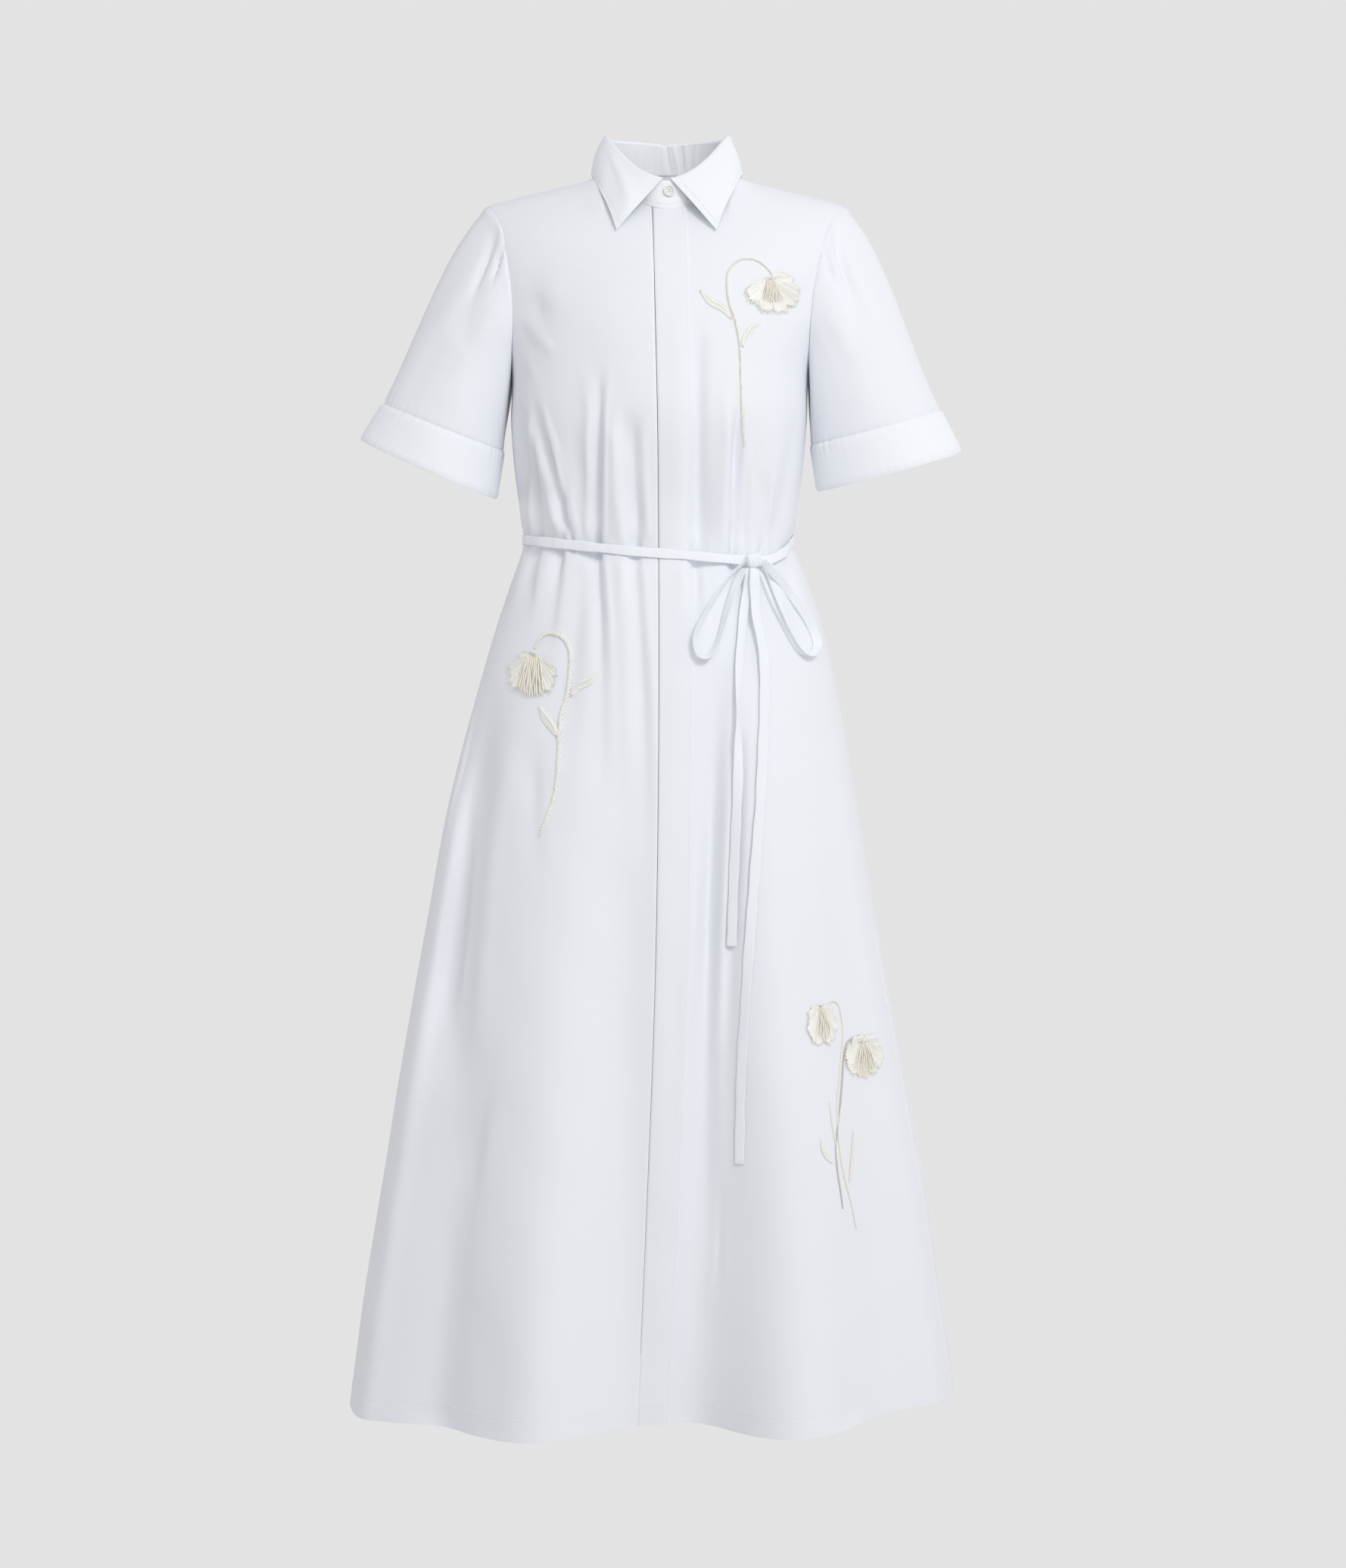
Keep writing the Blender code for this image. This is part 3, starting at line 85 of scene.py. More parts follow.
hemCut = {
    "angle": [-180, -110, -60, -22, -6, 8, 20, 34, 50, 70, 90, 120, 150, 180],
    "lift": [0.004, 0.002, 0.001, 0.0, 0.004, 0.006, 0.001, 0.003, 0.01, 0.016, 0.017, 0.012, 0.006, 0.004],
}
dress = {
    "hem": -1.234, "underarm": -0.190, "shoulderReach": 0.180, "shoulderDrop": -0.0195,
    "shoulderRound": 0.065, "ridge": 0.006, "neckHalf": 0.064, "neckSide": 0.014,
    "frontNeck": 0.050, "backNeck": -0.008, "backHitch": 0.022,
    "placketWidth": 0.034, "placketLift": 0.0018, "underlap": 0.004, "seamGap": 0.0004,
    "seamAngle": {-1: 90, 1: 86}, "frontNeckShare": 6 / 16, "backNeckShare": 10 / 26,
    "skirtRows": [-1.160, -1.085, -1.010, -0.935, -0.860, -0.785, -0.715, -0.650, -0.590, -0.535, -0.487,
                  -0.448],
    "beltRows": [-0.034, -0.015, -0.0055, 0.0055, 0.015, 0.034],
    "chestRows": [-0.312, -0.276, -0.238, -0.190],
    "wall": 0.0009,
}
# big folds: top angle, foot angle, depth, spread, top height, foot height; gathers are deep at the top,
# the others at the foot, and bodice folds run down into the belt
bigFolds = {
    "skirt": [
        (-58, -45, -0.026, 8, -0.46, -1.3), (-28, -20, 0.026, 8, -0.5, -1.3),
        (-6, -5, -0.044, 6.5, -0.48, -1.3), (18, 9, -0.056, 6.5, -0.4, -1.3),
        (33, 25, 0.02, 9, -0.42, -1.3), (60, 50, -0.022, 9, -0.5, -1.3),
        (118, 112, -0.022, 9, -0.45, -1.3), (134, 131, 0.018, 9, -0.5, -1.3),
        (152, 150, -0.03, 8, -0.44, -1.3), (176, 172, 0.02, 11, -0.46, -1.3),
        (200, 199, -0.026, 9, -0.42, -1.3), (222, 223, 0.017, 10, -0.52, -1.3),
        (241, 244, -0.02, 8, -0.43, -1.3),
    ],
    "gathers": [
        (-62, -60, -0.007, 4.2, -0.36, -0.46), (-44, -43, -0.0075, 4.4, -0.36, -0.5),
        (-28, -26, -0.0105, 4.4, -0.36, -0.6), (19, 18, -0.007, 4.4, -0.36, -0.48),
        (34, 26, -0.0115, 4.8, -0.36, -0.62), (60, 56, -0.0075, 4.4, -0.36, -0.5),
        (112, 114, -0.0085, 4.6, -0.34, -0.52), (136, 139, -0.01, 4.6, -0.34, -0.56),
        (163, 161, -0.0095, 4.6, -0.34, -0.5), (186, 187, -0.0105, 4.6, -0.34, -0.58),
        (212, 209, -0.0085, 4.6, -0.34, -0.52), (238, 235, -0.0095, 4.6, -0.34, -0.54),
    ],
    "bodice": [
        (-74, -48, -0.0085, 5.0, -0.2, -0.4), (-29, -27, -0.0125, 4.6, -0.2, -0.4),
        (-7, -6, -0.006, 4.2, -0.24, -0.4), (14, 17, -0.0105, 4.8, -0.17, -0.4),
        (36, 36, -0.0105, 4.8, -0.21, -0.4), (66, 54, -0.0075, 5.0, -0.22, -0.4),
        (118, 122, -0.0085, 5.0, -0.19, -0.4), (147, 149, -0.011, 5.0, -0.16, -0.4),
        (177, 174, -0.01, 5.0, -0.14, -0.4), (205, 200, -0.011, 5.0, -0.18, -0.4),
        (236, 233, -0.0085, 5.0, -0.19, -0.4),
    ],
}
# creases: start x and height, end x and height, bow, half width, depth,
# deep end (0 middle, 1 start, 2 end, 3 most of the way), and for some how much wider the left wall is
frontCreases = [
    # wearer's right bodice, below the dart
    (-0.1385, -0.229, -0.1375, -0.372, 0.0, 0.0042, -0.0040, 3),
    (-0.131, -0.232, -0.131, -0.366, 0.0, 0.0030, 0.0014, 0),
    (-0.128, -0.275, -0.123, -0.372, 0.0, 0.0040, -0.0038, 3),
    (-0.113, -0.300, -0.104, -0.366, 0.0, 0.0050, 0.0018, 2),
    (-0.131, -0.224, -0.099, -0.345, -0.003, 0.0050, -0.0058, 3),
    (-0.102, -0.310, -0.090, -0.374, 0.0, 0.0060, -0.0044, 3),
    (-0.125, -0.222, -0.096, -0.300, -0.002, 0.0026, 0.0013, 0),
    (-0.148, -0.243, -0.133, -0.228, 0.0, 0.0022, -0.0010, 0),
    (-0.076, -0.235, -0.076, -0.372, 0.0, 0.0090, 0.0026, 3),
    (-0.0615, -0.190, -0.065, -0.380, -0.001, 0.0054, -0.0068, 3),
    (-0.047, -0.225, -0.047, -0.350, 0.0, 0.0070, 0.0020, 0),
    (-0.031, -0.235, -0.024, -0.382, 0.0, 0.0085, -0.0050, 3),
    (-0.042, -0.300, -0.038, -0.374, 0.0, 0.0040, 0.0014, 2),
    (-0.084, -0.330, -0.080, -0.374, 0.0, 0.0036, -0.0022, 2),
    # wearer's left bodice
    (0.0355, -0.140, 0.038, -0.392, 0.0, 0.0095, -0.0062, 3),
    (0.0765, -0.205, 0.0735, -0.392, 0.0, 0.0052, -0.0062, 3),
    (0.088, -0.260, 0.090, -0.384, 0.0, 0.0042, 0.0016, 3),
    (0.061, -0.225, 0.058, -0.390, 0.0, 0.0080, 0.0022, 3),
    (0.104, -0.290, 0.102, -0.388, 0.0, 0.0050, -0.0026, 3),
    (0.121, -0.255, 0.114, -0.376, 0.0, 0.0060, 0.0016, 2),
    # from the armholes, and along the shoulders
    (-0.142, -0.090, -0.108, -0.178, 0.004, 0.0220, -0.0056, 0),
    (-0.140, -0.160, -0.108, -0.208, 0.0, 0.0090, -0.0032, 1),
    (-0.130, -0.158, -0.102, -0.185, 0.0, 0.0050, 0.0008, 0),
    (-0.138, -0.184, -0.118, -0.216, 0.0, 0.0045, 0.0009, 0),
    (0.141, -0.120, 0.116, -0.172, 0.0, 0.0100, -0.0022, 1),
    (0.078, -0.006, 0.112, -0.013, 0.0, 0.0024, -0.0014, 1),
    (0.080, -0.014, 0.104, -0.020, 0.0, 0.0026, -0.0012, 1),
    (-0.120, -0.022, -0.062, -0.034, -0.003, 0.0060, -0.0016, 0),
    # skirt, out of the belt
    (-0.1285, -0.366, -0.1355, -0.460, 0.0, 0.0050, -0.0052, 1),
    (-0.113, -0.376, -0.119, -0.460, 0.0, 0.0060, 0.0022, 1),
    (-0.102, -0.366, -0.115, -0.500, 0.0, 0.0056, -0.0052, 1),
    (-0.080, -0.376, -0.094, -0.490, 0.0, 0.0080, 0.0026, 1),
    (-0.0655, -0.366, -0.061, -0.640, -0.004, 0.0064, -0.0074, 1),
    (-0.038, -0.376, -0.043, -0.460, 0.0, 0.0060, 0.0022, 1),
    (-0.028, -0.370, -0.0165, -0.780, -0.005, 0.0065, -0.0042, 1),
    (0.0335, -0.380, 0.036, -0.520, 0.0, 0.0060, -0.0044, 1),
    (0.055, -0.382, 0.048, -0.470, 0.0, 0.0060, 0.0018, 1),
    (0.104, -0.380, 0.117, -0.500, 0.0, 0.0055, -0.0034, 1),
    (0.128, -0.372, 0.140, -0.490, 0.0, 0.0050, -0.0028, 1),
    # skirt, lower down
    (-0.167, -0.860, -0.204, -1.070, 0.0, 0.0160, -0.0052, 0, 2.0),
    (-0.126, -0.560, -0.122, -0.700, 0.0, 0.0100, -0.0030, 0),
    (-0.150, -1.020, -0.158, -1.225, 0.0, 0.0240, -0.0026, 2),
    (0.062, -0.440, 0.047, -1.060, 0.004, 0.0085, -0.0078, 0),
    (0.081, -0.480, 0.066, -0.930, 0.0, 0.0060, -0.0042, 0),
    (0.064, -0.985, 0.060, -1.115, 0.0, 0.0032, -0.0016, 0),
    (0.031, -0.560, 0.019, -1.170, 0.0, 0.0090, 0.0024, 0),
    (0.124, -0.600, 0.152, -0.880, 0.0, 0.0160, -0.0030, 0),
    (0.150, -0.960, 0.186, -1.215, 0.0, 0.0180, -0.0032, 2),
]
backCreases = [
    (-0.118, -0.215, -0.102, -0.352, 0.004, 0.0060, -0.0056, 3),
    (-0.092, -0.270, -0.086, -0.352, 0.0, 0.0045, 0.0016, 2),
    (-0.066, -0.170, -0.058, -0.352, -0.003, 0.0060, -0.0066, 3),
    (-0.040, -0.250, -0.038, -0.350, 0.0, 0.0060, 0.0020, 3),
    (-0.018, -0.140, -0.022, -0.352, 0.003, 0.0062, -0.0056, 2),
    (0.008, -0.230, 0.004, -0.350, 0.0, 0.0050, 0.0016, 2),
    (0.030, -0.190, 0.026, -0.352, -0.002, 0.0056, -0.0064, 3),
    (0.054, -0.260, 0.050, -0.350, 0.0, 0.0055, 0.0018, 3),
    (0.078, -0.165, 0.070, -0.352, 0.004, 0.0060, -0.0054, 3),
    (0.112, -0.225, 0.104, -0.352, -0.003, 0.0056, -0.0050, 3),
    (-0.140, -0.090, -0.080, -0.150, 0.008, 0.0130, -0.0048, 1),
    (-0.138, -0.140, -0.104, -0.190, 0.004, 0.0080, -0.0030, 1),
    (0.142, -0.095, 0.086, -0.160, -0.007, 0.0120, -0.0044, 1),
    (0.136, -0.150, 0.112, -0.196, -0.003, 0.0070, -0.0028, 1),
    (-0.100, 0.000, -0.040, -0.028, -0.004, 0.0120, -0.0018, 0),
    (0.050, -0.022, 0.112, -0.008, 0.004, 0.0120, -0.0018, 0),
    (-0.110, -0.364, -0.124, -0.560, 0.002, 0.0060, -0.0060, 1),
    (-0.076, -0.364, -0.080, -0.480, 0.001, 0.0050, -0.0044, 1),
    (-0.040, -0.364, -0.047, -0.640, 0.003, 0.0064, -0.0068, 1),
    (-0.006, -0.364, -0.006, -0.490, -0.001, 0.0052, -0.0040, 1),
    (0.032, -0.364, 0.041, -0.620, 0.002, 0.0062, -0.0060, 1),
    (0.066, -0.364, 0.073, -0.480, 0.002, 0.0052, -0.0042, 1),
    (0.100, -0.364, 0.117, -0.580, -0.002, 0.0060, -0.0056, 1),
    (0.160, -0.480, 0.206, -0.860, -0.006, 0.0130, -0.0120, 3, 1.8),
    (-0.150, -0.600, -0.215, -1.000, 0.010, 0.0140, -0.0085, 0, 1.6),
    (-0.070, -0.700, -0.092, -1.200, 0.006, 0.0180, -0.0058, 2),
    (0.060, -0.640, 0.100, -1.120, -0.008, 0.0160, -0.0062, 0),
    (0.020, -0.820, 0.014, -1.220, 0.0, 0.0170, -0.0044, 2),
    (-0.128, -0.980, -0.150, -1.220, 0.0, 0.0180, -0.0050, 2),
    (0.150, -0.940, 0.186, -1.210, 0.004, 0.0170, -0.0050, 2),
]


def curveOn(values, slopes, index, t, step=1):
    # smooth curve from one station to the next
    start = (1 + 2 * t) * (1 - t) ** 2 * values[index] + t * (1 - t) ** 2 * step * slopes[index]
    return start + t**2 * (3 - 2 * t) * values[index + 1] - t**2 * (1 - t) * step * slopes[index + 1]


def glide(table, station, column, at):
    # smooth curve through one column of a table
    stations = np.array(table[station], float)
    values = np.array(table[column], float)
    at = np.clip(at, stations[0], stations[-1])
    index = np.clip(np.searchsorted(stations, at) - 1, 0, len(stations) - 2)
    step = stations[index + 1] - stations[index]
    return curveOn(values, np.gradient(values, stations), index, (at - stations[index]) / step, step)


def ringCut(column, height):
    return glide(bodyRings, "height", column, height)


def ease(value, start, end):
    t = np.clip((value - start) / (end - start), 0.0, 1.0)
    return t * t * (3 - 2 * t)


def unit(vectors):
    return vectors / np.maximum(np.linalg.norm(vectors, axis=-1, keepdims=True), 1e-12)


def turned(angle):
    return (np.degrees(angle) + 180) % 360 - 180


def hump(away, width):
    # 1 in the middle, dying out to both sides
    return np.exp(-((away / width) ** 2))


def fromFold(degrees, first, last, run):
    # degrees away from a fold that runs from one angle to another
    return (degrees - (first + (last - first) * run) + 180) % 360 - 180


def beltLine(angle):
    return glide(beltDip, "angle", "height", turned(angle))


def foldShare(kind, run, height, fromBelt, creased, top, foot):
    # how much of a fold's depth shows at each height, and where it shows at all
    gathered = (1 - run) ** 1.3
    inside = (height <= top) & (height >= foot)
    if kind == "gathers" and creased:  # comes out from under the belt
        return gathered * ease(-fromBelt, -0.010, 0.012), height >= foot
    if kind == "gathers":
        return gathered * ease(run, -0.001, 0.02), inside
    if kind == "bodice" and creased:  # dies out just under the belt
        return run**1.15 * ease(fromBelt, -0.022, 0.002), height <= top
    return run**1.15, inside


def foldLift(angle, height, creased=True):
    # big folds push the cloth out or in, and the belt presses them flat
    degrees = np.degrees(angle)
    total = np.zeros(np.broadcast(angle, height).shape)
    fromBelt = height - beltLine(angle)
    for kind in bigFolds:
        for topAngle, footAngle, depth, spread, top, foot in bigFolds[kind]:
            run = np.clip((top - height) / (top - foot), 0.0, 1.0)
            away = fromFold(degrees, topAngle, footAngle, run)
            share, inside = foldShare(kind, run, height, fromBelt, creased, top, foot)
            total += np.where(inside, depth * share * np.exp(-0.5 * (away / spread) ** 2), 0.0)
    flat = ease(np.abs(fromBelt), 0.006, 0.030)
    if creased:  # the cloth runs on under the belt in its hollows
        flat = np.where(total < 0, 0.5 + 0.5 * ease(np.abs(fromBelt), 0.002, 0.034), flat)
    return total * flat - 0.0022 * hump(fromBelt, 0.014)


def wander(x, z, scale):
    # gentle unevenness of cloth, -1 to 1
    a = np.sin(x / scale * 2.1 + 1.3 * np.sin(z / scale * 0.9)) * np.sin(z / scale * 1.7 + 0.6)
    b = np.sin(x / scale * 3.7 + z / scale * 2.3 + 1.1)
    c = np.sin(x / scale * 1.2 - z / scale * 3.1 + 2.4)
    return 0.45 * a + 0.3 * b + 0.25 * c


def deepShare(deep, t):
    # how deep a crease is along its run, by where it is deepest
    if deep == 0:
        return np.sin(math.pi * t) ** 1.2
    if deep == 1:
        return (1 - t) ** 1.3
    if deep == 2:
        return t**1.3
    return ease(t, 0.0, 0.35)


def creaseLift(x, height, creases):
    # listed creases: a trough with soft shoulders, uneven along its run
    total = np.zeros(np.broadcast(x, height).shape)
    for index, (startX, startZ, endX, endZ, bow, width, depth, deep, *lean) in enumerate(creases):
        run = np.array([endX - startX, endZ - startZ])
        length = math.hypot(*run)
        t = ((x - startX) * run[0] + (height - startZ) * run[1]) / length**2
        inRun = np.clip(t, 0, 1)
        away = ((x - startX) * run[1] - (height - startZ) * run[0]) / length
        away = away - bow * 4 * inRun * (1 - inRun)
        uneven = 1 + 0.28 * np.sin(2 * math.pi * (1.6 * inRun + 0.37 * index))
        share = deepShare(deep, inRun)
        walls = np.where(away > 0, lean[0] if lean else 1.25, 0.78)
        wide = width * (1.25 - 0.45 * share) * walls
        beyond = np.maximum(np.maximum(-t, t - 1), 0) * length
        shoulder = 0.30 if width < 0.009 else 0.08
        profile = hump(away, wide) - shoulder * np.exp(-(((np.abs(away) / wide) - 2.0) ** 2) * 1.4)
        total += depth * share * uneven * profile * hump(beyond, min(1.1 * width, 0.013))
    return total


def outwardAt(angle, height):
    sine = np.sin(angle) / ringCut("halfWidth", height)
    depth = np.where(np.cos(angle) > 0, ringCut("front", height), ringCut("back", height))
    return unit(np.stack([sine, -np.cos(angle) / depth, np.zeros_like(sine)], axis=-1))


def fineLift(x, height, face):
    creases = frontCreases if face < 0 else backCreases
    total = creaseLift(x, height, creases) + 0.0006 * wander(x + 0.3 * face, height, 0.045)
    return total + 0.0010 * wander(x - 0.2, height + 0.4 * face, 0.11)


skirtFront = {"flatter": 0.45, "between": (-0.42, -0.64)}  # the skirt's front is flatter than a plain oval
# the skirt's side edges turn forwards, and beside them on the wearer's right lie two hollows,
# pushed straight from front to back
sideFolds = {"right": 0.013, "left": 0.004, "middle": 0.935, "spread": 0.045, "top": -0.54, "full": -0.70}
sideHollows = [
    (-0.1705, -0.500, -0.2235, -0.915, 0.0, 0.0200, -0.0330, 0, 1.5),
    (-0.190, -0.930, -0.228, -1.225, 0.0, 0.0340, -0.0060, 3, 0.8),
]


def sideFold(x, height):
    across = (x - ringCut("centre", height)) / ringCut("halfWidth", height)
    reach = np.where(across < 0, sideFolds["right"], sideFolds["left"])
    reach = reach * ease(height, sideFolds["top"], sideFolds["full"]) * ease(1 - np.abs(across), 0.0, 0.03)
    crest = reach * hump(np.abs(across) - sideFolds["middle"], sideFolds["spread"])
    return crest + creaseLift(x, height, sideHollows) * ease(1 - np.abs(across), 0.0, 0.05)


def ring(angle, height, lift=0.0, creased=True):
    # points on the body below the underarm
    angle, height = np.broadcast_arrays(np.asarray(angle, float), np.asarray(height, float))
    power = 2 / ringCut("square", height)
    sine, cosine = np.sin(angle), np.cos(angle)
    depth = np.where(cosine > 0, ringCut("front", height), ringCut("back", height))
    x = ringCut("centre", height) + ringCut("halfWidth", height) * np.sign(sine) * np.abs(sine) ** power
    y = -depth * np.sign(cosine) * np.abs(cosine) ** power
    square = ringCut("square", height) + skirtFront["flatter"] * ease(height, *skirtFront["between"])
    flat = -depth * np.maximum(1 - np.abs(sine) ** (power * square), 0) ** (1 / square)
    y = np.where(cosine > 0, flat, y)
    out = foldLift(angle, height, creased) + lift
    if creased:
        free = ease(np.abs(height - beltLine(angle)), 0.003, 0.022)
        fine = np.where(cosine > 0, fineLift(x, height, -1), fineLift(x, height, 1))
        fine = np.where(fine < 0, fine, fine * free)
        out = out + fine * ease(np.abs(cosine), 0.0, 0.25)
        y = y - np.where(cosine > 0, 1.0, -0.4) * sideFold(x, height)
    return np.stack([x, y, height], axis=-1) + out[..., None] * outwardAt(angle, height)


def angleOf(x, height, reach=None):
    reach = ringCut("halfWidth", height) if reach is None else reach
    span = np.clip((x - ringCut("centre", height)) / reach, -1, 1)
    return np.arcsin(np.sign(span) * np.abs(span) ** (ringCut("square", height) / 2))


def rimHeight(across, neckDrop):
    # the top edge: the neck's curve, then the shoulder
    neck = dress["neckSide"] - neckDrop * (1 - np.clip(across / dress["neckHalf"], 0, 1) ** 2)
    return np.where(across < dress["neckHalf"], neck, glide(shoulderCut, "reach", "height", across))


def yoke(x, height, face, lift=0.0, creased=True):
    # points above the underarm, face -1 in front and 1 behind
    centre = ringCut("centre", height)
    square = ringCut("square", height)
    across = np.abs(x - centre)
    span = np.clip(across / ringCut("halfWidth", height), 0, 1)
    flat = ringCut("front" if face < 0 else "back", height) * (1 - span**square) ** (1 / square)
    neckDrop = dress["frontNeck"] if face < 0 else dress["backNeck"]
    below = np.maximum(rimHeight(across, neckDrop) - height, 0) / dress["shoulderRound"]
    down = np.clip(np.maximum(1 - across / dress["neckHalf"], 0) + below, 0, 1)
    bow = np.sqrt(np.maximum(1 - (1 - down) ** 2, 0))
    y = dress["ridge"] + bow * (face * flat - dress["ridge"])
    angle = np.arcsin(np.sign(x - centre) * span ** (square / 2))
    angle = np.where(face < 0, angle, np.pi - angle)
    out = foldLift(angle, height, creased) + lift
    if creased:
        out = out + fineLift(x, height, face) * ease(bow, 0.1, 0.6) * ease(0.19 - across, 0.0, 0.05)
    return np.stack([x, y, height], axis=-1) + out[..., None] * outwardAt(angle, height)


def placketEdge(height):
    return glide(placketCut, "height", "x", height)


# rows and columns, closer together than the solids'
gridCounts = {"rowStep": 0.0066, "upper": 46, "front": 144, "back": 160, "sleeve": 44, "stand": 12}


def rowPlan():
    # for each fine row below the underarm: which coarse row it follows, and how far it is on to the next
    line = float(beltLine(np.array(0.0)))
    nominal = [dress["hem"], *dress["skirtRows"], *(line + offset for offset in dress["beltRows"])]
    nominal += dress["chestRows"]
    plan = []
    for index, (low, high) in enumerate(zip(nominal, nominal[1:])):
        count = max(2, int(round((high - low) / gridCounts["rowStep"])))
        plan += [(index, step / count) for step in range(count)]
    plan.append((len(nominal) - 2, 1.0))
    return np.array(plan)


plan = rowPlan()
planIndex, planShare = plan[:, 0].astype(int), plan[:, 1:]


def rowHeights(angle, hitch=0.0):
    # heights of all the fine rows, for angles given row by row
    angle = np.broadcast_to(angle, (len(plan), np.shape(angle)[-1]))
    line = beltLine(angle)
    coarse = [dress["hem"] + hemLift(angle) + hitch]
    coarse += [np.full(angle.shape, height) for height in dress["skirtRows"]]
    coarse += [line + offset for offset in dress["beltRows"]]
    coarse += [np.full(angle.shape, height) for height in dress["chestRows"]]
    coarse = np.array(coarse)
    rows = np.arange(len(plan))
    return coarse[planIndex, rows] * (1 - planShare) + coarse[planIndex + 1, rows] * planShare


def hemLift(angle):
    return glide(hemCut, "angle", "lift", turned(angle))


def closeAtEnds(count):
    # even steps, with a few closer ones at the two ends for the seams
    ends = [0.0035, 0.007]
    return np.unique(np.concatenate([np.linspace(0, 1, count + 1), ends, [1 - end for end in ends]]))


def sideAngle(side):
    return math.radians(dress["seamAngle"][side])


def topAcross(fraction, share, start):
    # along the top edge: the neck takes the first share of the points, the shoulder the rest
    sweep = start + (math.pi / 2 - start) * np.clip(fraction / share, 0, 1)
    along = (fraction - share) / (1 - share)
    shoulder = dress["neckHalf"] + (dress["shoulderReach"] - dress["neckHalf"]) * along
    return np.where(fraction <= share, dress["neckHalf"] * np.sin(sweep), shoulder)


def armholeHeights():
    share = np.linspace(0, 1, gridCounts["upper"] + 1)
    return dress["underarm"] + (dress["shoulderDrop"] - dress["underarm"]) * (0.45 * share**2 + 0.55 * share)


def riseOf(height):
    # 0 at the underarm, 1 at the shoulder
    return (height - dress["underarm"]) / (dress["shoulderDrop"] - dress["underarm"])


def risingRow(across, neckDrop, rise):
    return dress["underarm"] + (rimHeight(across, neckDrop) - dress["underarm"]) * rise


def risingAcross(low, top, reach, rise):
    # rows turn from the underarm's shape into the shoulder's
    blend = rise**1.3
    across = (1 - blend) * low + blend * top * reach / dress["shoulderReach"]
    return np.where(rise > 0.999, top, across)


def frontRows(side, edgeGap, lift, creased=True):
    # a front, from its inner edge to the side seam or the armhole
    near, far = np.linspace(0, 0.76, gridCounts["front"]), np.linspace(0.76, 1, 30)
    fraction = np.unique(np.concatenate([near, far, [0.0035, 0.007, 0.899, 0.904, 0.909, 0.993, 0.9965]]))
    seam = sideAngle(side)
    angle = side * seam * np.tile(fraction, (len(plan), 1))
    for _ in range(3):  # the hem and the belt's line move with the angle, so it settles in three rounds
        height = rowHeights(angle)
        start = angleOf(placketEdge(height[:, :1]) + edgeGap, height[:, :1])
        angle = start + (side * seam - start) * fraction
    seamRidge = 0.0007 * hump(1 - fraction - 0.006, 0.0035)
    if creased and side > 0:  # the side seam stands a little to the front low down
        seamRidge = seamRidge + 0.0011 * hump(fraction - 0.904, 0.004) * ease(-height, 0.70, 0.80)
    rows = list(ring(angle, height, lift(angle, height) + seamRidge, creased))
    for height in armholeHeights()[1:]:
        rise = riseOf(height)
        reach = glide(armholeCut, "height", "reach", height)
        middle = ringCut("centre", height)
        inner = side * (placketEdge(height) + edgeGap - middle)
        start = math.asin(np.clip(inner / dress["neckHalf"], -1, 1))
        top = topAcross(fraction, dress["frontNeckShare"], start)
        lowStart = side * angleOf(placketEdge(height) + edgeGap, height, reach)
        lowAngle = lowStart + (math.pi / 2 - lowStart) * fraction
        low = reach * np.sign(lowAngle) * np.abs(np.sin(lowAngle)) ** (2 / ringCut("square", height))
        across = risingAcross(low, top, reach, rise)
        z = risingRow(np.abs(top), dress["frontNeck"], rise)
        x = ringCut("centre", z) + side * across
        x[-1] = middle + side * reach
        rows.append(yoke(x, z, -1, lift(side * np.abs(angleOf(x, z)), z), creased))
    return np.array(rows)


def backRows():
    # the back, from the wearer's left seam round to the right one
    fraction = closeAtEnds(gridCounts["back"])
    start = sideAngle(1)
    angle = start + (2 * math.pi - sideAngle(-1) - start) * fraction
    hitch = dress["backHitch"] * (1 - ease(np.degrees(angle), 96, 125))
    height = rowHeights(angle, hitch)
    rows = list(ring(np.broadcast_to(angle, height.shape), height))
    sides = 1 - 2 * fraction
    share = dress["backNeckShare"]
    sweep = np.clip(sides / share, -1, 1) * math.pi / 2
    along = np.clip((np.abs(sides) - share) / (1 - share), 0, 1)
    beyond = np.sign(sides) * (dress["neckHalf"] + (dress["shoulderReach"] - dress["neckHalf"]) * along)
    top = np.where(np.abs(sides) > share, beyond, dress["neckHalf"] * np.sin(sweep))
    for height in armholeHeights()[1:]:
        rise = riseOf(height)
        reach = glide(armholeCut, "height", "reach", height)
        low = reach * np.sign(sides) * np.abs(np.sin(sides * math.pi / 2)) ** (2 / ringCut("square", height))
        z = risingRow(np.abs(top), dress["backNeck"], rise)
        x = ringCut("centre", z) + risingAcross(low, top, reach, rise)
        x[0] = ringCut("centre", height) + reach
        x[-1] = ringCut("centre", height) - reach
        rows.append(yoke(x, z, 1))
    return np.array(rows)


def rightLift(angle, height):
    # the right front stands out beside the placket, and its fold turns in at the very edge
    edge = angleOf(placketEdge(height), height)
    away = (edge - angle) * ringCut("halfWidth", height)
    roll = 0.0009 * hump(away, 0.0009)
    return dress["placketLift"] * (1 - ease(edge - angle, math.radians(4), math.radians(32))) - roll


def noLift(angle, height):
    return np.zeros(np.broadcast(angle, height).shape)


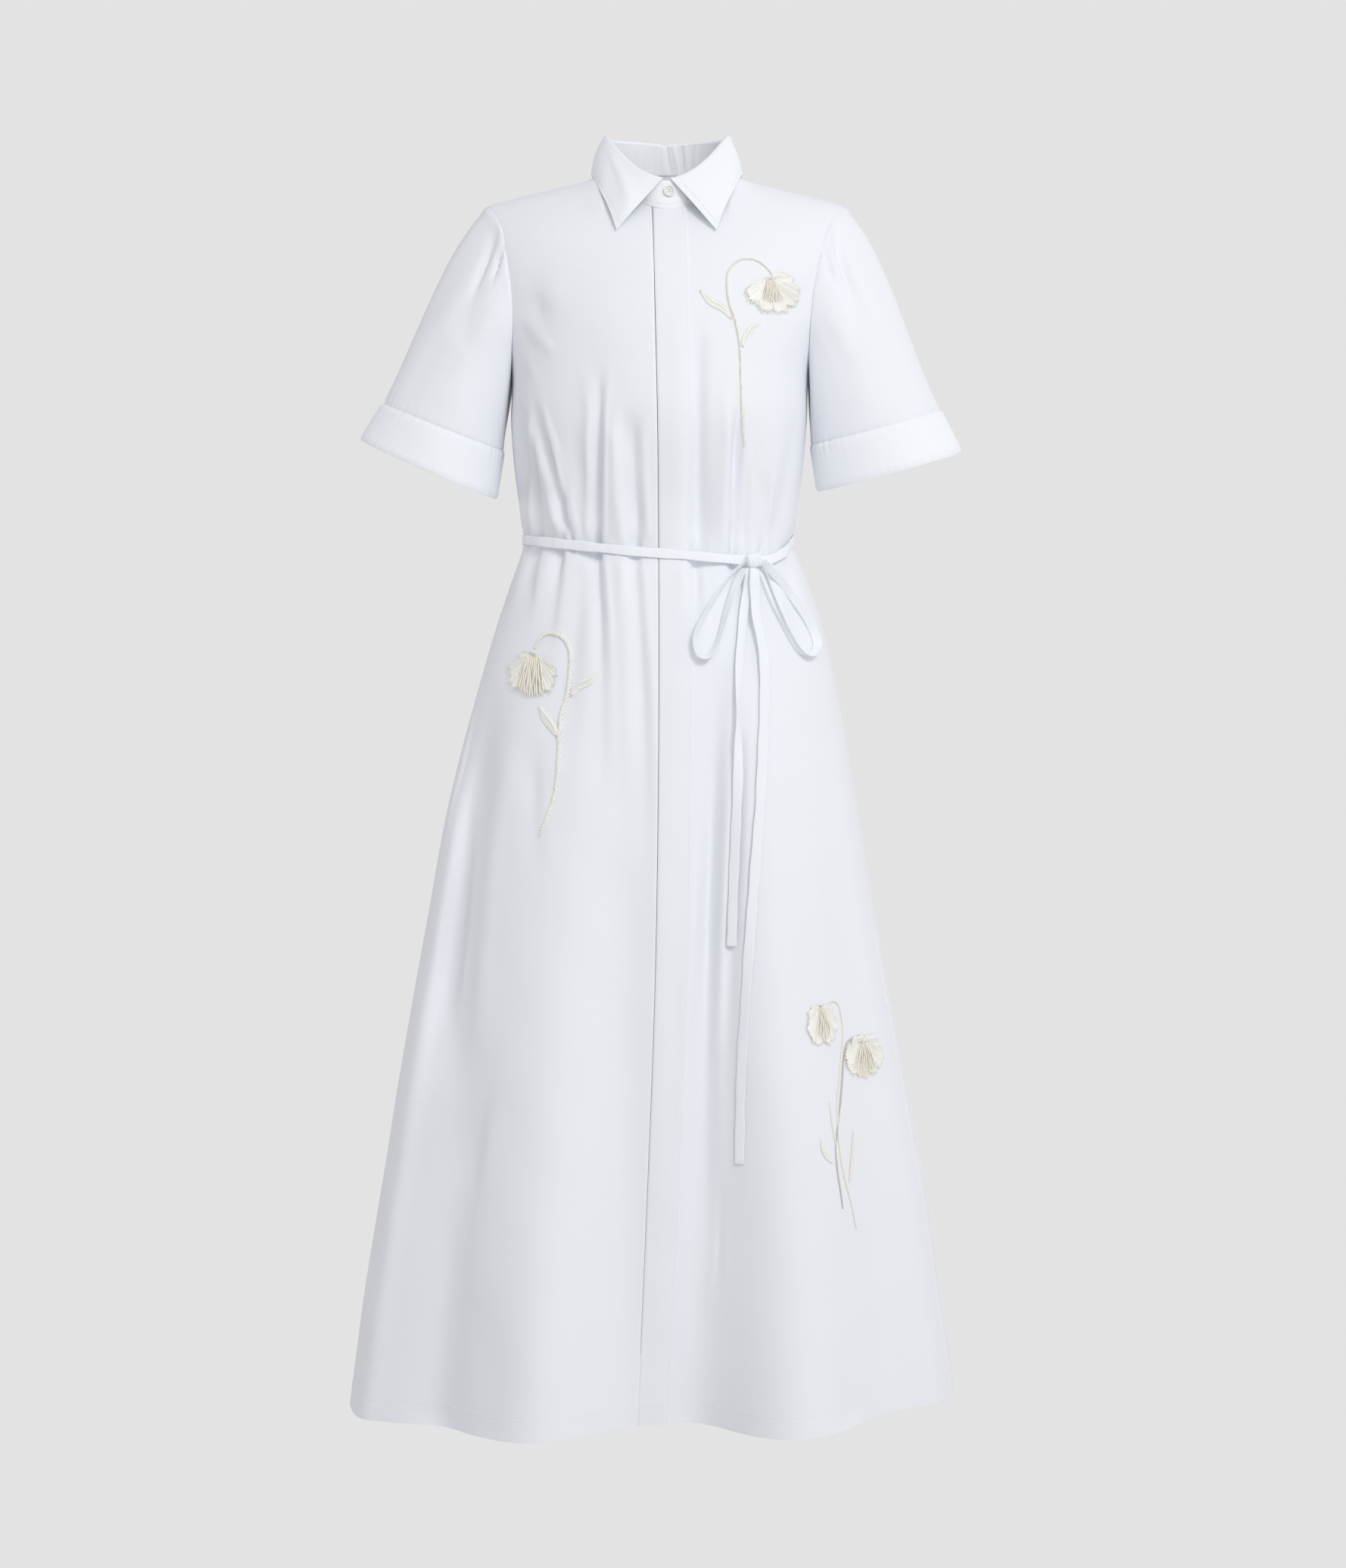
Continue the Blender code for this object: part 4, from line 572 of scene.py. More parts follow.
def placketRows():
    # the strip beside the right front's fold, rolled in at both edges and along its stitch line
    fraction = np.array(placketCut["columns"])
    across = fraction * dress["placketWidth"]
    roll = 0.0009 * hump(across, 0.0008) + 0.0004 * hump(0.0312 - across, 0.0009)
    roll = roll + 0.0009 * hump(dress["placketWidth"] - across, 0.0007)
    angle = np.zeros((len(plan), len(fraction)))
    for _ in range(3):
        height = rowHeights(angle)
        angle = angleOf(placketEdge(height[:, :1]) + dress["seamGap"] + across, height)
    rows = list(ring(angle, height, dress["placketLift"] - roll))
    for height in armholeHeights()[1:]:
        rise = riseOf(height)
        x = placketEdge(dress["underarm"] + 0.15 * rise) + dress["seamGap"] + across
        fromMiddle = np.abs(x - ringCut("centre", dress["neckSide"] - dress["frontNeck"]))
        z = risingRow(fromMiddle, dress["frontNeck"], rise)
        rows.append(yoke(x, z, -1, dress["placketLift"] - roll))
    return np.array(rows)


# finishes: two near tones, how rough and how much sheen; for threads the tone's scale and the ply's height
poplinFeel = {"rough": 0.85, "sheen": 0.08}
finishes = {
    "poplin": {"colour": (0.885, 0.90, 0.94), "second": (0.87, 0.885, 0.93), **poplinFeel},
    "doublePoplin": {"colour": (0.915, 0.935, 0.972), "second": (0.905, 0.925, 0.962), **poplinFeel},
    # the stand's finish is partly a whiter lined cloth and partly painted light: brightened further to stand
    # in for light coming through the stand into the shaded neck
    "linedPoplin": {"colour": (0.955, 0.965, 0.985), "second": (0.945, 0.955, 0.98), **poplinFeel},
    "threadIvory": {"colour": (0.96, 0.95, 0.91), "second": (0.90, 0.885, 0.83), "rough": 0.45, "sheen": 0.2,
                    "scale": 300, "ply": 0.00012},
    "threadBeige": {"colour": (0.94, 0.915, 0.855), "second": (0.87, 0.84, 0.76), "rough": 0.5, "sheen": 0.2,
                    "scale": 300, "ply": 0.00012},
    "threadTaupe": {"colour": (0.66, 0.64, 0.585), "second": (0.56, 0.53, 0.465), "rough": 0.52, "sheen": 0.2,
                    "scale": 300, "ply": 0.00012},
    "petalSheer": {"colour": (0.985, 0.975, 0.935), "second": (0.95, 0.93, 0.87), "rough": 0.75,
                   "sheen": 0.25},
    "strandCream": {"colour": (0.985, 0.955, 0.865), "second": (0.94, 0.885, 0.755), "rough": 0.42,
                    "sheen": 0.15, "scale": 520, "ply": 0.00010},
    "buttonWhite": {"colour": (0.90, 0.90, 0.89), "second": (0.84, 0.85, 0.86), "rough": 0.2, "sheen": 0.0,
                    "scale": 90, "ply": 0.00002},
    # painted shade: dark grey for the button's rim and dish edges, where shade falls
    "buttonPaintedShade": {"colour": (0.36, 0.36, 0.37), "second": (0.30, 0.30, 0.32), "rough": 0.4, "sheen": 0.0,
                     "scale": 90, "ply": 0.00002},
    "buttonThread": {"colour": (0.50, 0.50, 0.50), "second": (0.42, 0.42, 0.43), "rough": 0.6, "sheen": 0.1,
                     "scale": 900, "ply": 0.00008},
}
weaveCounts = {"X": 620, "Y": 540}  # threads along and across the cut


def setInputs(node, values):
    for name, value in values.items():
        node.inputs[name].default_value = value


def addNode(owner, kind, values=None):
    node = owner.node_tree.nodes.new("ShaderNode" + kind)
    setInputs(node, values or {})
    return node


def startFinish(name):
    material = bpy.data.materials.new(name)
    material.use_nodes = True
    shader = material.node_tree.nodes["Principled BSDF"]
    finish = finishes[name]
    setInputs(shader, {"Roughness": finish["rough"], "Sheen Weight": finish["sheen"], "Sheen Roughness": 0.5,
                       "Specular IOR Level": 0.3})
    return material, shader, material.node_tree.links


def mixTones(material, shader, first, second):
    # two near tones on the shader; what mixes them goes into the socket that comes back
    mix = addNode(material, "Mix")
    mix.data_type = "RGBA"
    mix.inputs["A"].default_value = (*first, 1)
    mix.inputs["B"].default_value = (*second, 1)
    material.node_tree.links.new(mix.outputs["Result"], shader.inputs["Base Color"])
    return mix.inputs["Factor"]


def softTones(material, shader, name, scale):
    # the two tones, mixed by a soft noise
    links = material.node_tree.links
    place = addNode(material, "TexCoord")
    noise = addNode(material, "TexNoise", {"Scale": scale, "Detail": 3})
    links.new(place.outputs["Object"], noise.inputs["Vector"])
    tones = mixTones(material, shader, finishes[name]["colour"], finishes[name]["second"])
    links.new(noise.outputs["Fac"], tones)
    return place


def bumpFrom(material, height, distance, strength, under=None):
    bump = addNode(material, "Bump", {"Distance": distance, "Strength": strength})
    material.node_tree.links.new(height, bump.inputs["Height"])
    if under:
        material.node_tree.links.new(under.outputs["Normal"], bump.inputs["Normal"])
    return bump


def makePoplin(name):
    # fine plain weave along the cut, slubs, and a faint crumple
    material, shader, links = startFinish(name)
    place = softTones(material, shader, name, 9)
    crumple = addNode(material, "TexNoise", {"Scale": 55, "Detail": 2})
    links.new(place.outputs["Object"], crumple.inputs["Vector"])
    low = bumpFrom(material, crumple.outputs["Fac"], 0.0009, 0.3)
    threads = []
    for direction, scale in weaveCounts.items():
        slubs = {"Scale": scale, "Distortion": 0.6, "Detail": 1, "Detail Scale": 0.5}
        wave = addNode(material, "TexWave", slubs)
        wave.bands_direction = direction
        links.new(place.outputs["UV"], wave.inputs["Vector"])
        threads.append(wave)
    weave = addNode(material, "Math")
    weave.operation = "MULTIPLY"
    for index, wave in enumerate(threads):
        links.new(wave.outputs["Fac"], weave.inputs[index])
    high = bumpFrom(material, weave.outputs["Value"], 0.00009, 0.35, low)
    links.new(high.outputs["Normal"], shader.inputs["Normal"])
    return material


def makeThread(name):
    # twisted thread: tone by strand, and a fine ply, very slight on the button
    material, shader, links = startFinish(name)
    place = softTones(material, shader, name, finishes[name]["scale"])
    ply = addNode(material, "TexNoise", {"Scale": 2400, "Detail": 1})
    links.new(place.outputs["Object"], ply.inputs["Vector"])
    bump = bumpFrom(material, ply.outputs["Fac"], finishes[name]["ply"], 0.4)
    links.new(bump.outputs["Normal"], shader.inputs["Normal"])
    return material


def makePetalCloth(name):
    # sheer cloth: streaks run from the middle of the flower to its edge
    material, shader, links = startFinish(name)
    place = addNode(material, "TexCoord")
    streaks = addNode(material, "Mapping", {"Scale": (30, 1.1, 1)})
    noise = addNode(material, "TexNoise", {"Scale": 1, "Detail": 3})
    tones = mixTones(material, shader, finishes[name]["second"], finishes[name]["colour"])
    spread = addNode(material, "MapRange", {"From Min": 0.36, "From Max": 0.58})
    links.new(place.outputs["UV"], streaks.inputs["Vector"])
    links.new(streaks.outputs["Vector"], noise.inputs["Vector"])
    links.new(noise.outputs["Fac"], spread.inputs["Value"])
    links.new(spread.outputs["Result"], tones)
    bump = bumpFrom(material, noise.outputs["Fac"], 0.0006, 0.5)
    links.new(bump.outputs["Normal"], shader.inputs["Normal"])
    return material


materials = {}
for name in finishes:
    if name.lower().endswith("poplin"):
        materials[name] = makePoplin(name)
    elif "ply" in finishes[name]:
        materials[name] = makeThread(name)
    else:
        materials[name] = makePetalCloth(name)
print("finishes made")


# making cloth
def freshPiece(name, add, **settings):
    bpy.ops.object.select_all(action="DESELECT")
    add(**settings)
    piece = bpy.context.object
    piece.name = piece.data.name = name
    return piece


def pick(piece):
    bpy.ops.object.select_all(action="DESELECT")
    bpy.context.view_layer.objects.active = piece
    piece.select_set(True)


def rest(piece):
    # leaves the piece's object at the origin, unturned
    pick(piece)
    bpy.ops.object.transform_apply(location=True, rotation=True, scale=True)


def putAt(piece, spot, turns):
    piece.location = spot
    piece.rotation_euler = [math.radians(turn) for turn in turns]
    rest(piece)


def joinPieces(name, pieces):
    for piece in pieces:
        piece.select_set(True)
    bpy.context.view_layer.objects.active = pieces[0]
    bpy.ops.object.join()
    whole = bpy.context.object
    whole.name = whole.data.name = name
    return whole


def smoothBelow(degrees):
    bpy.ops.object.shade_smooth_by_angle(angle=math.radians(degrees))


def allFaces(work, **settings):
    # one edit-mode operator on the whole of the active piece
    bpy.ops.object.mode_set(mode="EDIT")
    bpy.ops.mesh.select_all(action="SELECT")
    work(**settings)
    bpy.ops.object.mode_set(mode="OBJECT")


def settle(piece, node, finish):
    # the piece takes its CAD node's place and finish
    piece.data.materials.clear()
    for name in finish if isinstance(finish, tuple) else (finish,):
        piece.data.materials.append(materials[name])
    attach(piece, "root")
    if node:
        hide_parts(node)


def applyAll(piece):
    bpy.context.view_layer.objects.active = piece
    for modifier in list(piece.modifiers):
        bpy.ops.object.modifier_apply(modifier=modifier.name)


def clothGrid(name, points, outward=1, around=False, closed=False, evenMap=False):
    # a grid primitive laid on the cut's points, with its weave measured along the cloth
    if around:
        points = np.concatenate([points, points[:, :1]], axis=1)
    if closed:
        points = np.concatenate([points, points[:1]], axis=0)
    rows, columns = points.shape[:2]
    counts = {"x_subdivisions": columns - 1, "y_subdivisions": rows - 1}
    piece = freshPiece(name, bpy.ops.mesh.primitive_grid_add, size=1, **counts)
    mesh = piece.data
    mesh.vertices.foreach_set("co", points.reshape(-1).astype(np.float32))
    across = np.zeros((rows, columns))
    across[:, 1:] = np.cumsum(np.linalg.norm(np.diff(points, axis=1), axis=2), axis=1)
    along = np.zeros((rows, columns))
    along[1:] = np.cumsum(np.linalg.norm(np.diff(points, axis=0), axis=2), axis=0)
    if evenMap:
        across, along = np.meshgrid(np.linspace(0, 1, columns), np.linspace(0, 1, rows))
    weave = np.stack([across, along], axis=-1).reshape(-1, 2)
    corners = np.empty(len(mesh.loops), np.int32)
    mesh.loops.foreach_get("vertex_index", corners)
    mesh.uv_layers.active.data.foreach_set("uv", weave[corners].reshape(-1).astype(np.float32))
    if outward < 0:
        mesh.flip_normals()
    mesh.update()
    if around or closed:
        allFaces(bpy.ops.mesh.remove_doubles, threshold=1e-6)
    return piece


def makeCloth(name, node, points, outward=1, around=False, wall=None, finish="poplin"):
    piece = clothGrid(name, points, outward, around)
    shell = piece.modifiers.new("wall", "SOLIDIFY")
    shell.thickness = wall or dress["wall"]
    shell.offset = -1
    applyAll(piece)
    smoothBelow(42)
    settle(piece, node, finish)


rightRows = frontRows(-1, -0.0002, rightLift)
leftRows = frontRows(1, dress["underlap"], noLift)
rearRows = backRows()
placket = placketRows()
makeCloth("frontRight", "front_right", rightRows, outward=-1)
makeCloth("frontLeft", "front_left", leftRows)
makeCloth("backPanel", "back", rearRows)
makeCloth("placketStrip", "placket", placket)
print("panels made")


def clothTree(points):
    # the outer face of a panel, to lay trims on
    rows, columns = points.shape[:2]
    index = np.arange(rows * columns).reshape(rows, columns)
    faces = np.stack([index[:-1, :-1], index[:-1, 1:], index[1:, 1:], index[1:, :-1]], axis=-1)
    return BVHTree.FromPolygons(points.reshape(-1, 3).tolist(), faces.reshape(-1, 4).tolist())


leftTree = clothTree(leftRows)
rightTree = clothTree(rightRows)
smoothTree = clothTree(frontRows(1, dress["underlap"], noLift, False))


def onCloth(tree, x, z):
    # where lines from the front meet the cloth, and the cloth's outward direction there
    spots, normals = [], []
    for a, b in zip(np.ravel(x), np.ravel(z)):
        spot, normal, _, _ = tree.ray_cast(Vector((a, -1, b)), Vector((0, 1, 0)))
        spots.append(spot)
        normals.append(normal if normal.y < 0 else -normal)
    shape = (*np.shape(x), 3)
    return np.array(spots).reshape(shape), np.array(normals).reshape(shape)


# sleeves
cuffCut = {
    "right": {"side": -1, "seam": (-0.2220, -0.2460, 0.0650, 21.6), "hem": (-0.2375, -0.2895, 0.0745, 23.7)},
    "left": {"side": 1, "seam": (0.2165, -0.2470, 0.0675, 14.5), "hem": (0.2308, -0.2920, 0.0750, 15.4)},
}
sleeveCut = {"middle": -0.006, "seamDepth": 0.057, "frontDrop": 0.007, "hemDepth": 0.061, "cuffWall": 0.0013,
             "cuffRows": [0, 0.02, 0.05, 0.1, 0.2, 0.35, 0.5, 0.65, 0.8, 0.88, 0.94, 0.98, 1.0]}
# folds: start and end angle (90 on top, 0 in front), start and end share of the length, depth, spread
sleeveFolds = [
    (62, 20, 0.02, 0.55, -0.0050, 15), (35, 30, 0.30, 1.00, -0.0035, 14),
    (-25, 5, 0.15, 0.80, -0.0030, 16), (118, 150, 0.02, 0.60, -0.0050, 15),
    (165, 150, 0.30, 1.00, -0.0035, 15), (200, 185, 0.15, 0.80, -0.0030, 16),
    # sharper creases on top of the soft folds
    (72, 40, 0.02, 0.34, -0.0052, 4.2), (54, 30, 0.00, 0.17, -0.0046, 3.4),
    (24, 6, 0.24, 0.98, -0.0014, 8.0), (-6, -24, 0.35, 0.88, -0.0010, 8.0),
    (48, 36, 0.50, 1.05, -0.0012, 8.0), (118, 138, 0.05, 0.36, -0.0018, 6.0),
    (136, 150, 0.00, 0.22, -0.0016, 5.0), (160, 172, 0.30, 0.95, -0.0013, 8.0),
    (196, 206, 0.32, 0.9, -0.0010, 8.0),
]


def cuffRing(cuff, angle, atHem):
    # the tilted oval at a cuff's seam or at its hem
    x, z, half, tilt = cuff["hem"] if atHem else cuff["seam"]
    tilt = math.radians(tilt)
    depth = sleeveCut["hemDepth"] if atHem else sleeveCut["seamDepth"]
    out = np.sin(angle) * half
    y = sleeveCut["middle"] - np.cos(angle) * depth
    across = x + cuff["side"] * out * math.cos(tilt)
    return np.stack([across, y, z + out * math.sin(tilt) - np.cos(angle) * sleeveCut["frontDrop"]], axis=-1)


def clearOfBody(points, side, gap):
    # a sleeve stays this far outside the body's side
    height = points[..., 2]
    depth = np.where(points[..., 1] < 0, ringCut("front", height), ringCut("back", height))
    square = ringCut("square", height)
    inside = np.clip(1 - np.clip(np.abs(points[..., 1]) / depth, 0, 1) ** square, 0, 1)
    body = ringCut("centre", height) + side * ringCut("halfWidth", height) * inside ** (1 / square)
    moved = side * np.maximum(side * points[..., 0], side * body + gap)
    return np.where(height < dress["underarm"], moved, points[..., 0])


def gridNormals(points, around=False):
    if around:
        across = np.roll(points, -1, axis=1) - np.roll(points, 1, axis=1)
    else:
        across = np.gradient(points, axis=1)
    return unit(np.cross(across, np.gradient(points, axis=0)))


def seamPucker(degrees):
    # small uneven gathers along a seam, strongest towards the outer end
    waves = np.sin(degrees * 1.02 + 3 * np.sin(degrees * 0.06)) + 0.6 * np.sin(degrees * 0.57 + 1)
    return 0.00055 * waves * (0.45 + 0.55 * np.sin(np.radians(degrees)) ** 2)


def sleeveRows(cuff, armhole, angle):
    rise = np.sin(angle)
    start = armhole - np.array([cuff["side"] * 0.0003, 0, 0])
    finish = cuffRing(cuff, angle, False)
    sideways = cuff["side"] * (0.05 + 0.70 * ease(rise, -1.0, -0.55))
    leave = np.stack([sideways, -0.24 * np.cos(angle), 0.35 * ease(rise, -1.0, -0.3) - 1.0], axis=-1)
    first = start + unit(leave) * (0.038 + 0.018 * rise)[:, None]
    join = np.stack([cuff["side"] * (0.28 + 0.17 * rise), 0 * rise, -0.93 - 0 * rise], axis=-1)
    second = finish - unit(join) * (0.048 + 0.027 * rise)[:, None]
    shares = np.unique(np.concatenate([np.linspace(0, 1, gridCounts["sleeve"] + 1), [0.984, 0.992]]))
    share = shares[:, None, None]
    rows = (1 - share) ** 3 * start + 3 * share * (1 - share) ** 2 * first
    rows = rows + 3 * share**2 * (1 - share) * second + share**3 * finish
    normals = gridNormals(rows, True)
    degrees = np.degrees(angle)
    push = np.zeros(rows.shape[:2])
    for startAngle, endAngle, begin, end, depth, spread in sleeveFolds:
        run = np.clip((shares - begin) / (end - begin), 0, 1)[:, None]
        away = fromFold(degrees, startAngle, endAngle, run)
        push += depth * np.sin(math.pi * run) * np.exp(-0.5 * (away / spread) ** 2)
    down = share[..., 0]
    pucker = seamPucker(degrees) * hump(1 - down, 0.06)
    push = push + pucker + 0.0002 * np.sin(degrees * 0.21 + 7 * down) * np.sin(math.pi * down)
    head = 0.0016 * hump(down - 0.035, 0.03) * np.maximum(rise, 0) ** 0.5
    push = push + head - 0.0008 * hump(down, 0.012)
    push = push - 0.0011 * hump(1 - down, 0.016)  # drawn in at the cuff seam
    rows = rows - push[..., None] * normals * cuff["side"]
    gap = 0.0030 * np.minimum(shares * 3, 1)
    rows[..., 0] = clearOfBody(rows, cuff["side"], gap[:, None])
    return rows


def makeSleeve(name, front, back):
    cuff = cuffCut[name.lower()]
    top, under = (front[-1] + back[-1]) / 2, (front[0] + back[0]) / 2
    loop = np.array([under, *front[1:-1], top, *back[-2:0:-1], under])
    count = 2 * (len(loop) - 1)  # twice as fine as the armhole, for the puckers
    at = np.arange(count) / 2
    loop = np.stack([np.interp(at, np.arange(len(loop)), loop[:, axis]) for axis in range(3)], axis=-1)
    angle = np.radians(-90 + 360 * np.arange(count) / count)
    rows = sleeveRows(cuff, loop, angle)
    makeCloth("sleeve" + name, "sleeve_" + name.lower(), rows, -cuff["side"], around=True)
    seam, hem = cuffRing(cuff, angle, False), cuffRing(cuff, angle, True)
    down = np.array(sleeveCut["cuffRows"])[:, None]
    band = seam + (hem - seam) * down[..., None]
    swell = np.where(down < 0.5, ease(down, 0, 0.09), ease(1 - down, 0, 0.05)) * 0.0015
    degrees = np.degrees(angle)
    pucker = seamPucker(degrees) * hump(down, 0.20) + 0.7 * seamPucker(degrees + 31) * hump(1 - down, 0.18)
    out = swell + pucker + 0.0005 * np.sin(degrees * 0.07 + 2) * np.sin(math.pi * down)
    band = band - out[..., None] * gridNormals(band, True) * cuff["side"]
    makeCloth("cuff" + name, "cuff_" + name.lower(), band, -cuff["side"], around=True,
              wall=sleeveCut["cuffWall"], finish="doublePoplin")
    return band


lowerCount = len(plan)
cuffBandRight = makeSleeve("Right", rightRows[lowerCount - 1:, -1], rearRows[lowerCount - 1:, -1])
cuffBandLeft = makeSleeve("Left", leftRows[lowerCount - 1:, -1], rearRows[lowerCount - 1:, 0])
print("sleeves made")

# collar
standCut = {"angle": [0, 45, 90, 135, 180], "height": [0.0285, 0.0320, 0.0345, 0.0340, 0.0335]}
leafCut = {
    "angle": [3, 20, 40, 62, 80, 92, 112, 135, 158, 180],
    "across": [0.0495, 0.0540, 0.0600, 0.0680, 0.0755, 0.0775, 0.0735, 0.0560, 0.0290, 0.0],
    "depth": [-0.0800, -0.0755, -0.0660, -0.0490, -0.0160, 0.0060, 0.0360, 0.0610, 0.0740, 0.0780],
    "height": [-0.0595, -0.0455, -0.0300, -0.0115, 0.0070, 0.0125, 0.0125, 0.0130, 0.0150, 0.0160],
}
collar = {"leafEnd": 3.5, "centre": 0.0045, "lap": 0.0019, "wall": 0.0011, "stitchIn": 0.0052}
crownRows = [(0.0002, -0.0005), (0.0006, 0.0017), (0.0028, 0.0026), (0.0049, 0.0014)]  # out and up
leafShares = [0.04, 0.09, 0.15, 0.22, 0.3, 0.38, 0.46, 0.54, 0.62, 0.7, 0.77, 0.83, 0.87, 0.9, 0.93,
              0.955, 0.975, 0.99, 1.0]


def neckRim(angle):
    # where the body's cloth ends round the neck
    face = np.where(np.cos(angle) > 0, -1, 1)
    across = dress["neckHalf"] * np.abs(np.sin(angle)) * 0.99999
    drop = np.where(face < 0, dress["frontNeck"], dress["backNeck"])
    height = dress["neckSide"] - drop * (1 - (across / dress["neckHalf"]) ** 2)
    x = collar["centre"] + np.sign(np.sin(angle)) * across
    front, back = yoke(x, height, -1, 0.0, False), yoke(x, height, 1, 0.0, False)
    return np.where((face < 0)[..., None], front, back)


def standTop(angle):
    base = neckRim(angle)
    middle = np.array([collar["centre"], 0, 0])
    top = middle + (base - middle) * np.array([0.93, 0.94, 1.0])
    top[..., 2] = base[..., 2] + glide(standCut, "angle", "height", np.abs(turned(angle)))
    fromBack = np.degrees(angle) % 360 - 180  # the back sags, with a notch at its seam
    top[..., 2] -= 0.0034 * hump(fromBack, 27) + 0.0014 * hump(fromBack - 3, 3.5)
    top[..., 2] += 0.0004 * np.sin(fromBack * 0.8 + 1) * hump(fromBack, 45)
    return top


def ringOutward(angle):
    return np.stack([np.sin(angle), -np.cos(angle), np.zeros_like(angle)], axis=-1)


def makeStand():
    # the wearer's right end laps over the left one, and the back gathers a little under the leaf
    ends = [np.linspace(18, 4, 22), np.linspace(3, -140, 60), np.linspace(-141, -219, 90)]
    degrees = np.concatenate([*ends, np.linspace(-220, -350, 56), np.linspace(-351, -369, 18)])
    angle = np.radians(degrees)
    lap = collar["lap"] * ease(degrees, -70, -12) + 0.0004
    low = neckRim(angle) + np.array([0, 0, 0.0002])
    top = standTop(angle)
    shrink = 1 - ease(degrees, 12, 18.01) * 0.24
    shares = np.linspace(0, 1, gridCounts["stand"] + 1)
    rows = low + (top - low) * (shares[:, None] * shrink)[..., None]
    atBack = hump(degrees + 180, 26)
    lean = degrees[None, :] + 5 * (shares[:, None] - 0.5) * np.sin(degrees * 0.11)
    gather = np.sin(lean * 0.52 + 2.2 * np.sin(lean * 0.09)) * 0.0009 + np.sin(lean * 1.31 + 1) * 0.0003
    gather = gather - 0.0016 * hump(lean + 177, 2.2)
    ripple = gather * atBack * (0.35 + 0.65 * np.sin(math.pi * np.clip(shares * 0.8, 0, 1)))[:, None]
    seam = -0.0004 * hump(shares - 0.05, 0.05)[:, None]
    close = 0.30 + 0.70 * ease(shares, 0.0, 0.4)[:, None]  # the stand lies close at its seam
    rows = rows + (lap * close + ripple + seam)[..., None] * ringOutward(angle)
    # the stand's lined finish carries painted light that brightens the shaded inside of the neck
    makeCloth("collarStand", "collar_stand", rows, -1, wall=collar["wall"], finish="linedPoplin")
    return rows


def crownAt(share):
    # the leaf's turn over the stand: how far out and up, 0 to 3 along its four stations
    stations = np.array(crownRows)
    index = min(int(share), 2)
    t = share - index
    before, after = stations[max(index - 1, 0)], stations[min(index + 2, 3)]
    p, q = stations[index], stations[index + 1]
    return 0.5 * (2 * p + (q - before) * t + (2 * before - 5 * p + 4 * q - after) * t**2
                  + (3 * p - before - 3 * q + after) * t**3)


def makeLeaf():
    half = np.concatenate([np.linspace(collar["leafEnd"], 60, 44), np.linspace(60, 180, 50)[1:]])
    degrees = np.concatenate([half, 360 - half[-2::-1]])
    angle = np.radians(degrees)
    out = ringOutward(angle)
    edgeAngle = np.where(degrees > 180, 360 - degrees, degrees)
    side = np.where(degrees > 180, -1, 1)
    across = collar["centre"] + side * glide(leafCut, "angle", "across", edgeAngle)
    depth, height = [glide(leafCut, "angle", column, edgeAngle) for column in ("depth", "height")]
    lower = np.stack([across, depth, height], axis=-1)
    base = standTop(angle) + (collar["lap"] * ease(degrees, 290, 348))[:, None] * out
    up = np.array([0, 0, 1.0])
    fine = []
    for share in np.linspace(0, 3, 10):
        spot = crownAt(share)
        fine.append(base + spot[0] * out + spot[1] * up)
    turn = fine[-1]
    fall = np.linalg.norm(lower - turn, axis=-1)
    for share in leafShares:
        fromEdge = (1 - share) * fall
        fromEnd = np.minimum(edgeAngle - collar["leafEnd"], 40) * 0.0011
        groove = 0.0004 * hump(fromEdge - collar["stitchIn"], 0.0011)
        groove = groove + 0.0004 * hump(fromEnd - collar["stitchIn"], 0.0011) * (fromEdge > 0.004)
        soft = 0.0006 * np.sin(edgeAngle * 0.11 + side) * math.sin(math.pi * share)
        # the wearer's right side bends along a line from its crown to its point
        bend = 5 + 65 * (1 - share) ** 2.2
        ridge = 0.0036 * hump(edgeAngle - bend, 12) * (side < 0) * ease(share, 0.02, 0.3) * (1 - 0.6 * share)
        swell = 0.0022 * math.sin(math.pi * share) + soft - groove + ridge
        fine.append(turn + (lower - turn) * share + swell[:, None] * out)
    rows = np.array(fine)
    makeCloth("collarLeaf", "collar_leaf", rows, -1, wall=collar["wall"],
              finish="doublePoplin")
    return rows


stand = makeStand()
leaf = makeLeaf()
print("collar made")

# neck button
button = {"radius": 0.0057, "thick": 0.0021, "hole": 0.00055, "holeSpread": 0.00100,
          "turned": [(0.0019, 0), (0.00015, -0.0006)], "rimEdge": 0.0056, "dishEdge": (0.00355, 0.0039),
          "wall": 0.0007, "edge": 0.00010, "gap": 0.0025, "inset": 0.0027, "slope": 4, "heightShare": 0.63,
          "thread": 0.00034, "threadRise": 0.00062, "threadDip": 0.0006}


